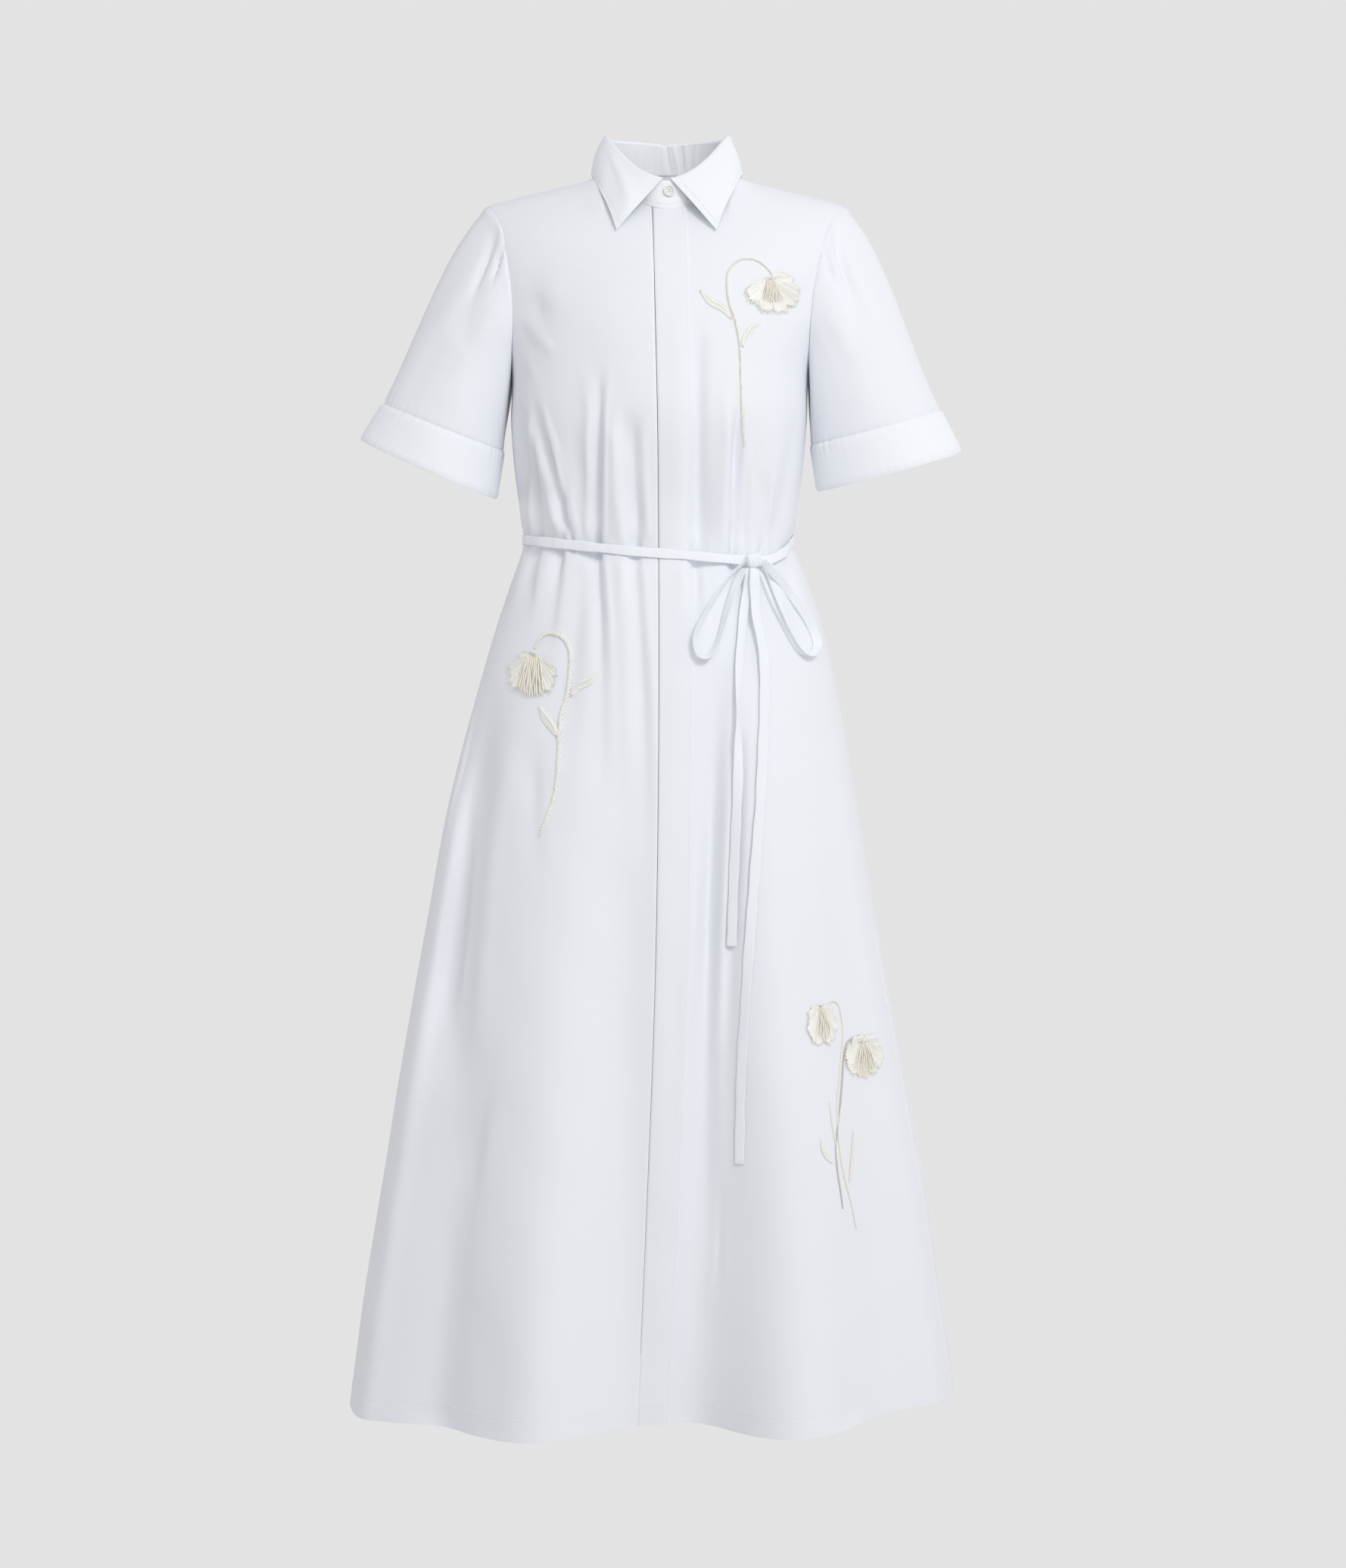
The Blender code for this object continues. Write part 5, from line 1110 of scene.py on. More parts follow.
def turnedDisc():
    # a disc with a flat rim, a dish and four holes
    size = {"vertices": 64, "radius": button["radius"], "depth": button["thick"]}
    piece = freshPiece("neckButton", bpy.ops.mesh.primitive_cylinder_add, location=(0, 0, 0), **size)
    bpy.ops.object.mode_set(mode="EDIT")
    bpy.ops.mesh.select_mode(type="FACE")
    bpy.ops.mesh.select_all(action="DESELECT")
    bpy.ops.object.mode_set(mode="OBJECT")
    for face in piece.data.polygons:
        face.select = face.normal.z > 0.9 and face.center.z > 0
    bpy.ops.object.mode_set(mode="EDIT")
    for inset, rise in button["turned"]:
        bpy.ops.mesh.inset(thickness=inset, depth=rise)
    bpy.ops.object.mode_set(mode="OBJECT")
    edge = piece.modifiers.new("edge", "BEVEL")
    edge.width = button["edge"]
    edge.segments = 2
    edge.limit_method = "ANGLE"
    edge.angle_limit = math.radians(25)
    applyAll(piece)
    spread = button["holeSpread"]
    for x, y in ((1, 1), (1, -1), (-1, -1), (-1, 1)):
        drill = {"vertices": 16, "radius": button["hole"], "depth": 0.01}
        spot = (x * spread, y * spread, 0)
        hole = freshPiece("hole", bpy.ops.mesh.primitive_cylinder_add, location=spot, **drill)
        bore = piece.modifiers.new("bore", "BOOLEAN")
        bore.operation = "DIFFERENCE"
        bore.object = hole
        bore.solver = "EXACT"
        applyAll(piece)
        bpy.data.objects.remove(hole)
    return piece


def paintedShadeFaces(piece):
    # the narrow faces at the rim's edge and the dish's edge, which get a dark grey painted shade
    found = []
    for face in piece.data.polygons:
        out = math.hypot(face.center.x, face.center.y)
        edged = out > button["rimEdge"] or button["dishEdge"][0] < out < button["dishEdge"][1]
        if edged and face.normal.z > 0.1 and face.center.z > button["thick"] / 2 - button["wall"]:
            found.append(face.index)
    return found


def makeButton():
    low = neckRim(np.array([0.0]))[0]
    spot = low + (standTop(np.array([0.0]))[0] - low) * button["heightShare"]
    spot = (collar["centre"] + button["inset"], spot[1] - collar["lap"] - button["gap"], spot[2])
    upright = (90 - button["slope"], 0, 0)
    piece = turnedDisc()
    shadedFaceIndexes = paintedShadeFaces(piece)
    putAt(piece, spot, upright)
    smoothBelow(30)
    # the second finish is dark grey painted shade on the rim and dish edge faces
    settle(piece, "neck_button", ("buttonWhite", "buttonPaintedShade"))
    for index in shadedFaceIndexes:
        piece.data.polygons[index].material_index = 1
    spread = button["holeSpread"]
    bars = []
    bar = {"vertices": 10, "radius": button["thread"], "depth": spread * 2.3}
    for y in (-1, 1):
        lies = {"location": (0, y * spread, button["threadRise"]), "rotation": (0, math.pi / 2, 0)}
        bars.append(freshPiece("bar", bpy.ops.mesh.primitive_cylinder_add, **lies, **bar))
    thread = joinPieces("buttonThread", bars)
    rest(thread)
    for vertex in thread.data.vertices:
        vertex.co.z -= button["threadDip"] * (vertex.co.x / spread) ** 2
    putAt(thread, spot, upright)
    smoothBelow(50)
    settle(thread, None, "buttonThread")


makeButton()
print("button made")

# belt
belt = {"width": 0.0098, "wall": 0.0012, "laid": 0.0009, "knotAngle": 37.5, "knotOut": 0.0068, "knotTurn": 33,
        "knotLean": 8,
        "knotCage": (0.0225, 0.0130, 0.0200), "loopShare": 0.9, "dent": 0.22, "tip": 0.0003}


def beltLift(angle):
    # the belt rides over the placket
    degrees = turned(angle)
    return dress["placketLift"] * ease(degrees, -40, -8) * (1 - ease(degrees, 20, 32))


def beltPoint(angle, offset, lift):
    return ring(angle, beltLine(angle) + offset, beltLift(angle) + lift, False)


def tapeSection(count=16):
    # a pressed tube's section: flat faces, soft folds at both edges
    turns = np.linspace(0, 2 * math.pi, count, endpoint=False)
    across = np.sign(np.cos(turns)) * np.abs(np.cos(turns)) ** 0.55
    thick = np.sign(np.sin(turns)) * np.abs(np.sin(turns)) ** 0.6
    return across, thick


def roundTips(points, middle):
    # both ends close in a short rounded tip
    step = unit(np.gradient(middle, axis=0)) * belt["tip"]
    first = [middle[0] + (points[0] - middle[0]) * share - step[0] for share in (0.05, 0.8)]
    last = [middle[-1] + (points[-1] - middle[-1]) * share + step[-1] for share in (0.8, 0.05)]
    return np.concatenate([first, points, last])


def makeTape(name, node, middle, side, face, width, closed=False, tied=()):
    # a pressed tube along a route
    across, thick = tapeSection()
    run = np.concatenate([[0], np.cumsum(np.linalg.norm(np.diff(middle, axis=0), axis=1))])
    uneven = 1 + 0.05 * np.sin(run * 150) + 0.04 * np.sin(run * 67 + 1)
    dent = 1 - belt["dent"] * hump(np.abs(across) - 0.72, 0.12)
    shifted = middle[:, None] + side[:, None] * across[:, None] * (width / 2 * uneven)[:, None, None]
    points = shifted + face[:, None] * (thick * dent)[:, None] * belt["wall"] / 2
    if not closed:
        points = roundTips(points, middle)
    piece = clothGrid(name, points, around=True, closed=closed)
    pick(piece)
    if not closed:
        bpy.ops.object.mode_set(mode="EDIT")
        bpy.ops.mesh.select_all(action="DESELECT")
        bpy.ops.mesh.select_mode(type="EDGE")
        bpy.ops.mesh.select_non_manifold()
        bpy.ops.mesh.edge_face_add()
        bpy.ops.object.mode_set(mode="OBJECT")
    allFaces(bpy.ops.mesh.normals_make_consistent, inside=False)
    smoothBelow(60)
    settle(piece, node, "doublePoplin")


def makeBeltBand(knot):
    # the join hides under the knot
    angle = math.radians(belt["knotAngle"]) + np.linspace(0, 2 * math.pi, 301)
    lift = belt["laid"] + belt["wall"] / 2
    slack = 0.0003 * np.sin(angle * 23) + 0.0002 * np.sin(angle * 61)
    middle = beltPoint(angle, 0.0, lift + slack)
    side = unit(beltPoint(angle, 0.004, lift) - beltPoint(angle, -0.004, lift))
    face = unit(np.cross(np.gradient(middle, axis=0), side))
    loop = [data[:-1] for data in (middle, side, face)]
    makeTape("beltBand", "belt_band", *loop, belt["width"], closed=True, tied=[knot])


# routes: across, height, how far out, and how the face is turned in degrees
shortTail = {
    "x": [0.088, 0.085, 0.0805, 0.0757, 0.0744, 0.0742, 0.0715, 0.069, 0.0676],
    "height": [-0.3962, -0.415, -0.44, -0.495, -0.545, -0.6, -0.66, -0.72, -0.766],
    "out": [0.0056, 0.0046, 0.0042, 0.0042, 0.0062, 0.004, 0.0028, 0.0026, 0.0026],
    "turn": [0, 2, 0, 20, 62, 12, -6, 0, 6],
}
longTail = {
    "x": [0.0915, 0.0915, 0.0925, 0.0970, 0.1005, 0.1000, 0.0955, 0.0870, 0.0805, 0.0765, 0.0748],
    "height": [-0.3961, -0.4150, -0.4400, -0.4650, -0.4900, -0.5400, -0.6280, -0.7340, -0.8210, -0.8900,
               -0.9750],
    "out": [0.0098, 0.0094, 0.0084, 0.0064, 0.0048, 0.0036, 0.0030, 0.0028, 0.0028, 0.0028, 0.0028],
    "turn": [4, 8, 14, 10, 4, -8, 0, 6, -8, 0, 8],
}
innerLoop = {
    "x": [0.0823, 0.0660, 0.0470, 0.0330, 0.0335, 0.0440, 0.0550, 0.0635, 0.0710, 0.0806],
    "height": [-0.3888, -0.4060, -0.4340, -0.4620, -0.4800, -0.4850, -0.4690, -0.4400, -0.4170, -0.3968],
    "out": [0.0103, 0.0086, 0.0082, 0.0080, 0.0080, 0.0080, 0.0080, 0.0086, 0.0096, 0.0118],
    "turn": [68, 66, 62, 60, 62, 64, 64, 66, 68, 70],
}
outerLoop = {
    "x": [0.0999, 0.1170, 0.1350, 0.1500, 0.1550, 0.1480, 0.1370, 0.1250, 0.1140, 0.1006],
    "height": [-0.3885, -0.4060, -0.4290, -0.4530, -0.4700, -0.4810, -0.4760, -0.4570, -0.4330, -0.3975],
    "out": [0.0100, 0.0086, 0.0084, 0.0088, 0.0096, 0.0088, 0.0082, 0.0084, 0.0090, 0.0112],
    "turn": [-68, -66, -62, -60, -60, -62, -64, -66, -68, -70],
}


def through(route, column, count):
    # a smooth run through one column of a route, its stations evenly apart
    values = np.array(route[column], float)
    at = np.linspace(0, len(values) - 1, count)
    index = np.clip(at.astype(int), 0, len(values) - 2)
    return curveOn(values, np.gradient(values), index, at - index)


def smoothed(vectors, rounds):
    for _ in range(rounds):
        vectors[1:-1] = unit(vectors[:-2] + vectors[1:-1] + vectors[2:])
    return vectors


def makeTie(name, node, route, count, width):
    out = through(route, "out", count)
    turn = np.radians(through(route, "turn", count))
    middle, normals = onCloth(smoothTree, through(route, "x", count), through(route, "height", count))
    middle = middle + out[:, None] * np.array([0, -1, 0])
    normals = smoothed(normals, 6)
    run = unit(np.gradient(middle, axis=0))
    side = unit(np.cross(run, normals))
    face = unit(np.cross(side, run))
    side = np.cos(turn)[:, None] * side + np.sin(turn)[:, None] * face
    face = unit(np.cross(side, run))
    makeTape(name, node, middle, side, face, width)


def makeKnot():
    # a soft block with pleats drawn round it
    piece = freshPiece("beltKnot", bpy.ops.mesh.primitive_cube_add, size=1, scale=belt["knotCage"])
    rest(piece)
    soft = piece.modifiers.new("soft", "SUBSURF")
    soft.levels = 5
    soft.render_levels = 5
    applyAll(piece)
    mesh = piece.data
    points = np.empty(len(mesh.vertices) * 3)
    mesh.vertices.foreach_get("co", points)
    points = points.reshape(-1, 3)
    normals = unit(points / np.array([0.5, 0.3, 0.45]))
    lean = points[:, 0] + 0.35 * points[:, 2]
    pleat = np.sin(lean * 1350 + 1.1 * np.sin(points[:, 2] * 260)) * 0.5
    pleat = pleat + 0.5 * np.sin(lean * 700 - points[:, 2] * 240 + 0.8)
    points = points - normals * (0.0005 - 0.00055 * pleat)[:, None]
    points[:, 0] *= 1 + 0.10 * np.sin(points[:, 2] * 210 + 0.5)
    points[:, 2] += 0.0006 * np.sin(points[:, 0] * 420)
    mesh.vertices.foreach_set("co", points.reshape(-1))
    angle = np.array([math.radians(belt["knotAngle"])])
    spot = beltPoint(angle, 0.0, belt["laid"] + belt["wall"] + belt["knotOut"])[0]
    putAt(piece, spot, (0, belt["knotLean"], belt["knotTurn"]))
    bpy.ops.object.shade_smooth()
    settle(piece, "belt_knot", "doublePoplin")
    return piece


makeBeltBand(makeKnot())
loopWidth = belt["width"] * belt["loopShare"]
makeTie("beltTailShort", "belt_tail_short", shortTail, 110, belt["width"])
makeTie("beltTailLong", "belt_tail_long", longTail, 160, belt["width"])
makeTie("beltLoopInner", "belt_loop_inner", innerLoop, 90, loopWidth)
makeTie("beltLoopOuter", "belt_loop_outer", outerLoop, 90, loopWidth)
print("belt made")


# thread work
def threadShape(name, rings, sides):
    # one length of thread along Z, closed at both ends, to be laid many times
    size = {"vertices": sides, "radius": 1, "depth": rings - 1}
    piece = freshPiece(name, bpy.ops.mesh.primitive_cylinder_add, location=(0, 0, 0), **size)
    bpy.ops.object.mode_set(mode="EDIT")
    for cut in range(1, rings - 1):
        bpy.ops.mesh.select_all(action="SELECT")
        bpy.ops.mesh.bisect(plane_co=(0, 0, cut - (rings - 1) / 2), plane_no=(0, 0, 1))
    bpy.ops.object.mode_set(mode="OBJECT")
    mesh = piece.data
    corners = np.array([vertex.co[:] for vertex in mesh.vertices])
    level = np.clip(np.round(corners[:, 2] + (rings - 1) / 2).astype(int), 0, rings - 1)
    faces = [list(face.vertices) for face in mesh.polygons]
    bpy.data.objects.remove(piece)
    return {"corners": corners[:, :2], "level": level, "faces": faces, "rings": rings}


def sweep(shape, paths, radii):
    # lays a copy of the shape along each path
    run = unit(np.gradient(paths, axis=1))
    guide = np.array([0.13, -0.9, 0.2])
    first = unit(np.cross(run, guide))
    second = np.cross(run, first)
    level = shape["level"]
    a, b = shape["corners"][:, 0, None], shape["corners"][:, 1, None]
    points = paths[:, level] + radii[:, level, None] * (a * first[:, level] + b * second[:, level])
    count, faces = len(shape["corners"]), []
    for copy in range(len(paths)):
        faces += [[corner + count * copy for corner in face] for face in shape["faces"]]
    return points.reshape(-1, 3), faces


def joinThreads(name, node, slot, groups, finish):
    # groups of laid threads become one piece, each group with its own finish
    points, faces, slots, base = [], [], [], 0
    for index, (laid, made) in enumerate(groups):
        points.append(laid)
        faces += [[corner + base for corner in face] for face in made]
        slots += [finish[index]] * len(made)
        base += len(laid)
    names = list(dict.fromkeys(finish))
    mesh = bpy.data.meshes.new(name)
    mesh.from_pydata(np.concatenate(points).tolist(), [], faces)
    mesh.polygons.foreach_set("material_index", [names.index(slot) for slot in slots])
    mesh.update()
    piece = bpy.data.objects.new(name, mesh)
    bpy.context.scene.collection.objects.link(piece)
    pick(piece)
    allFaces(bpy.ops.mesh.normals_make_consistent, inside=False)
    smoothBelow(60)
    settle(piece, node, tuple(names))


stitchShape = threadShape("stitchShape", 6, 6)
strandShape = threadShape("strandShape", 34, 7)
fibreShape = threadShape("fibreShape", 4, 4)
seamShape = threadShape("seamShape", 5, 5)
seeded = np.random.default_rng(7)  # the same on each run


edging = {"spacing": 0.0013, "long": 0.0032, "laid": 0.0005, "rise": 0.0003}  # stitches round a leaf
petalWork = {"wall": 0.0002, "fullness": 0.8, "fibre": 0.00013, "drawn": 0.00020, "calyx": 0.00042}


def swelling(t, ends):
    # thin at both ends of a thread, full in the middle
    return ends + (1 - ends) * np.sin(math.pi * t)


def runLine(tree, line, step=0.0005):
    # a line on the cloth: spots, outward directions, sideways directions and breadth
    rough = np.stack([through(line, "x", 400), through(line, "height", 400)], axis=-1)
    length = np.linalg.norm(np.diff(rough, axis=0), axis=1).sum()
    count = max(12, int(length / step))
    spots, normals = onCloth(tree, through(line, "x", count), through(line, "height", count))
    normals = smoothed(normals, 8)
    side = unit(np.cross(unit(np.gradient(spots, axis=0)), normals))
    breadth = through(line, "breadth", count)
    return {"spots": spots, "out": normals, "side": side, "breadth": breadth, "length": length}


def spotOn(line, at, across, out):
    # places beside a line: at is a share of its length, across a share of its breadth, out in metres
    at = np.clip(at, 0, 1) * (len(line["spots"]) - 1)
    low = np.clip(at.astype(int), 0, len(line["spots"]) - 2)
    t = (at - low)[..., None]

    def blend(key):
        return line[key][low] * (1 - t) + line[key][low + 1] * t

    breadth = line["breadth"][low] * (1 - t[..., 0]) + line["breadth"][low + 1] * t[..., 0]
    return blend("spots") + blend("side") * (across * breadth)[..., None] + blend("out") * out[..., None]


def joined(first, second):
    shift = len(first[0])
    moved = [[corner + shift for corner in face] for face in second[1]]
    return np.concatenate([first[0], second[0]]), first[1] + moved


def ropeStitches(line, rope, offset, size):
    # slanting stitches, each over the end of the last, as a rope
    count = max(2, int(line["length"] / rope["spacing"]))
    reach = rope["reach"] / line["length"]
    starts = np.linspace(0, max(1 - reach, 0.02), count)
    t = np.linspace(0, 1, stitchShape["rings"])
    at = starts[:, None] + reach * t
    across = offset + (t - 0.5) * 2 * rope["sway"] * size + seeded.normal(0, 0.05, (count, 1))
    breadth = np.interp(starts, np.linspace(0, 1, len(line["breadth"])), line["breadth"])[:, None]
    out = rope["rise"] * swelling(t, 0.3) * size + 0 * at
    radii = rope["thick"] * size * breadth * (0.30 + 0.70 * np.sin(math.pi * np.clip(t, 0.04, 0.96)) ** 0.6)
    return spotOn(line, at, across, out), radii * (1 + seeded.normal(0, 0.10, (count, 1)))


def satinStitches(line, leaf):
    # side by side from the vein out to each edge, leaning towards the tip
    groups = []
    for side in (-1, 1):
        count = max(4, int(line["length"] / leaf["spacing"]))
        starts = np.linspace(0.04, 0.92, count)
        t = np.linspace(0, 1, stitchShape["rings"])
        at = starts[:, None] + leaf["lean"] / line["length"] * t
        across = side * (0.02 + 0.44 * t) + 0 * at
        out = leaf["rise"] * (1 - 0.62 * t**1.5) + seeded.normal(0, 0.00004, (count, 1))
        radii = leaf["thick"] * swelling(t, 0.75) + 0 * at
        groups.append(sweep(stitchShape, spotOn(line, at, across, out), radii))
    return joined(*groups)


def edgeStitches(line, side, leaf):
    count = max(4, int(line["length"] / edging["spacing"]))
    starts = np.linspace(0.0, 0.94, count)
    t = np.linspace(0, 1, stitchShape["rings"])
    at = starts[:, None] + edging["long"] / line["length"] * t
    across = side * 0.5 + 0 * at
    out = edging["laid"] + edging["rise"] * np.sin(math.pi * t) + 0 * at
    radii = leaf["edge"] * swelling(t, 0.4) + 0 * at
    return sweep(stitchShape, spotOn(line, at, across, out), radii)


def nodeOf(name):
    # chestLeafOuter takes the place of chest_leaf_outer
    return "".join("_" + letter.lower() if letter.isupper() else letter for letter in name)


def makeStem(name, tree, lines, rope):
    # several strands side by side: how far across, how big and which finish
    groups, finish = [], []
    for line in lines:
        run = runLine(tree, line)
        for offset, size, tone in line.get("strands", rope["strands"]):
            groups.append(sweep(stitchShape, *ropeStitches(run, rope, offset, size)))
            finish.append(tone)
    joinThreads(name, nodeOf(name), "thread_cream", groups, finish)


def makeSewnLeaf(name, tree, line, leaf):
    run = runLine(tree, line, 0.0004)
    groups = [satinStitches(run, leaf)]
    groups += [edgeStitches(run, side, leaf) for side in (-1, 1)]
    fill, edge = line["tones"]
    joinThreads(name, nodeOf(name), "thread_cream", groups, [fill, edge, edge])


def headSpot(head, across, up):
    # from the flower's own directions to the dress's
    lean = math.radians(head["lean"])
    x = head["x"] + across * math.cos(lean) - up * math.sin(lean)
    return x, head["height"] + across * math.sin(lean) + up * math.cos(lean)


def petalRows(tree, head, index, turn, reach, spread):
    # one gathered petal: it hangs from the calyx and widens to a ragged rim
    columns, rows = head["columns"], 13
    edge = np.linspace(-1, 1, columns)
    turns = np.radians(turn + spread * edge)
    ragged = 1 + seeded.normal(0, 0.030, columns) + 0.035 * np.sin(edge * 9 + index)
    rim = reach * (1.0 - 0.30 * np.abs(edge) ** 2.6) * ragged
    half = np.where(np.sin(turns) > 0, head["above"], head["below"])
    calyx = head["above"] * head["calyxUp"]
    share = np.linspace(0.05, 1, rows)[:, None] ** 0.9
    across = head["halfWidth"] * np.cos(turns) * rim * share
    up = calyx + (half * np.sin(turns) * rim - calyx) * share
    x, z = headSpot(head, across, up)
    spots, normals = onCloth(tree, x, z)
    pleats = np.sin(edge * 17 + index) + 0.6 * np.sin(edge * 29 + 2 * index)
    out = 0.0009 + 0.0004 * (index % 3) + 0.0008 * (1 - edge**2) * np.sin(math.pi * share * 0.85)
    out = out + head["pleat"] * pleats * share**0.5 * (1.25 - share)
    out = out + 0.0004 * share**3 * np.sin(edge * 7 + index)
    return spots + normals * out[..., None]


def makePetals(name, petals):
    pieces = [clothGrid("petal", points, -1, evenMap=True) for points in petals]
    piece = joinPieces(name + "Petals", pieces)
    shell = piece.modifiers.new("wall", "SOLIDIFY")
    shell.thickness = petalWork["wall"]
    applyAll(piece)
    smoothBelow(50)
    settle(piece, nodeOf(name) + "_petals", "petalSheer")


def makeFray(name, head, petals):
    # fibres stand out along each rim, and threads are drawn out along each petal
    frays, laid = [], []
    for points in petals:
        tips, away = points[-1], unit(points[-1] - points[-3])
        for column in range(len(tips)):
            for _ in range(3):
                bend = seeded.normal(0, 0.25, 3)
                long = head["halfWidth"] * (0.05 + 0.10 * seeded.random())
                frays.append(tips[column] + np.linspace(-0.3, 1, 4)[:, None] * (away[column] + bend) * long)
        for column in range(1, len(tips) - 1, 2):
            first = seeded.integers(3, 6)
            picked = np.round(np.linspace(first, 12, stitchShape["rings"])).astype(int)
            laid.append(points[picked, column] + np.array([0, -0.0004, 0]) + seeded.normal(0, 0.00012, 3))
    frays, laid = np.array(frays), np.array(laid)
    groups = [sweep(fibreShape, frays, np.full(frays.shape[:2], petalWork["fibre"]))]
    groups.append(sweep(stitchShape, laid, np.full(laid.shape[:2], petalWork["drawn"])))
    joinThreads(name + "Fray", None, "petal_cream", groups, ["petalSheer", "threadIvory"])


def makeCentre(name, tree, head):
    # strands of small knots fan out from under the calyx
    count = head["strands"]
    t = np.linspace(0, 1, strandShape["rings"])
    strand = np.arange(count)[:, None]
    fan = np.linspace(-1, 1, count) + seeded.normal(0, 0.03, count)
    calyx = head["above"] * head["calyxUp"]
    foot = -head["below"] * head["strandFoot"] * (1 - 0.30 * np.abs(fan) ** 1.6)
    foot = foot * (1 + seeded.normal(0, 0.05, count))
    opened = head["strandTop"] + (head["strandFan"] - head["strandTop"]) * t**0.8
    across = fan[:, None] * opened * head["halfWidth"] + 0.0005 * np.sin(t * 11 + 2.1 * strand) * t
    up = calyx * 0.9 * (1 - t) + foot[:, None] * t
    spots, normals = onCloth(tree, *headSpot(head, across, up))
    dome = 0.0024 + 0.0022 * np.sin(math.pi * np.clip(t * 0.9 + 0.06, 0, 1)) * (1 - 0.5 * fan[:, None] ** 2)
    paths = spots + normals * (dome + 0.0009 * (strand % 2))[..., None]
    beads = 0.50 + 0.50 * np.abs(np.sin(t * math.pi * head["beads"] + 1.3 * strand))
    radii = head["strand"] * beads * np.clip(np.sin(math.pi * np.clip(t, 0.02, 0.98)) * 4, 0.3, 1)
    groups = [sweep(strandShape, paths, radii)]
    joinThreads(name + "Centre", nodeOf(name) + "_centre", "petal_cream", groups, ["strandCream"])


def makeCalyx(name, tree, head):
    # short stitches over the roots of the petals
    turns = np.radians(np.linspace(200, 340, head["calyxStitches"]))
    t = np.linspace(0, 1, stitchShape["rings"])
    size = head["halfWidth"] * head["calyxReach"]
    across = size * np.cos(turns)[:, None] * t
    up = head["above"] * head["calyxUp"] * 1.12 + size * np.sin(turns)[:, None] * t
    spots, normals = onCloth(tree, *headSpot(head, across, up))
    paths = spots + normals * (0.0030 + 0.0012 * np.sin(math.pi * t))[None, :, None]
    groups = [sweep(stitchShape, paths, petalWork["calyx"] * swelling(t, 0.5) + 0 * across)]
    joinThreads(name + "Calyx", None, "thread_cream", groups, [head["calyxTone"]])


def makeHead(name, tree, head):
    petals = [petalRows(tree, head, index, *petal) for index, petal in enumerate(head["petals"])]
    makePetals(name, petals)
    makeFray(name, head, petals)
    makeCentre(name, tree, head)
    makeCalyx(name, tree, head)


def makeSprig(tree, rope, stems, leafCut, leaves, heads):
    for name, lines in stems.items():
        makeStem(name, tree, lines, rope)
    for name, line in leaves.items():
        makeSewnLeaf(name, tree, line, leafCut)
    for name, head in heads.items():
        makeHead(name, tree, head)


chestStem = {
    "x": [0.1105, 0.1080, 0.1050, 0.1005, 0.0935, 0.0855, 0.0775, 0.0700, 0.0650, 0.0640,
          0.0655, 0.0720, 0.0765, 0.0775, 0.0790, 0.0815],
    "height": [-0.1070, -0.1025, -0.0985, -0.0942, -0.0900, -0.0885, -0.0900, -0.0955, -0.1040, -0.1150,
               -0.1330, -0.1540, -0.1800, -0.2150, -0.2500, -0.2770],
    "breadth": [0.0019, 0.0020, 0.0021, 0.0022, 0.0022, 0.0022, 0.0022, 0.0022, 0.0023, 0.0024,
                0.0026, 0.0028, 0.0028, 0.0025, 0.0022, 0.0018],
}
chestLeafOuter = {
    "x": [0.0690, 0.0600, 0.0480, 0.0370], "height": [-0.1520, -0.1410, -0.1340, -0.1225],
    "breadth": [0.0020, 0.0066, 0.0076, 0.0014], "tones": ("threadIvory", "threadBeige"),
}
chestLeafInner = {
    "x": [0.0785, 0.0825, 0.0895, 0.0975], "height": [-0.1800, -0.1690, -0.1590, -0.1530],
    "breadth": [0.0020, 0.0062, 0.0062, 0.0012], "tones": ("threadIvory", "threadBeige"),
}
# petals: where each points (0 right, 90 up), its reach, and half its spread in degrees
chestHead = {
    "x": 0.1080, "height": -0.1235, "halfWidth": 0.0250, "above": 0.0170, "below": 0.0195, "lean": 6,
    "columns": 37, "calyxUp": 0.90, "calyxReach": 0.26, "calyxStitches": 7,
    "calyxTone": "threadBeige", "pleat": 0.00030,
    "petals": [(60, 1.30, 28), (14, 1.10, 34), (170, 0.98, 42), (-150, 0.84, 28),
               (-112, 0.92, 26), (-24, 1.02, 28), (-68, 0.98, 30)],
    "strands": 15, "strandTop": 0.12, "strandFan": 0.38, "strandFoot": 0.52, "strand": 0.00056, "beads": 9,
}
fineRope = {"spacing": 0.0024, "reach": 0.0040, "thick": 0.25, "rise": 0.0011, "sway": 0.30,
            "strands": [(-0.38, 0.5, "threadBeige"), (0.38, 0.5, "threadBeige"), (0, 1.1, "threadIvory")]}
chestLeafCut = {"spacing": 0.00072, "lean": 0.0030, "thick": 0.00042, "rise": 0.0012, "edge": 0.00036}
makeSprig(leftTree, fineRope, {"chestStem": [chestStem]}, chestLeafCut,
          {"chestLeafOuter": chestLeafOuter, "chestLeafInner": chestLeafInner}, {"chest": chestHead})
print("chest sprig made")

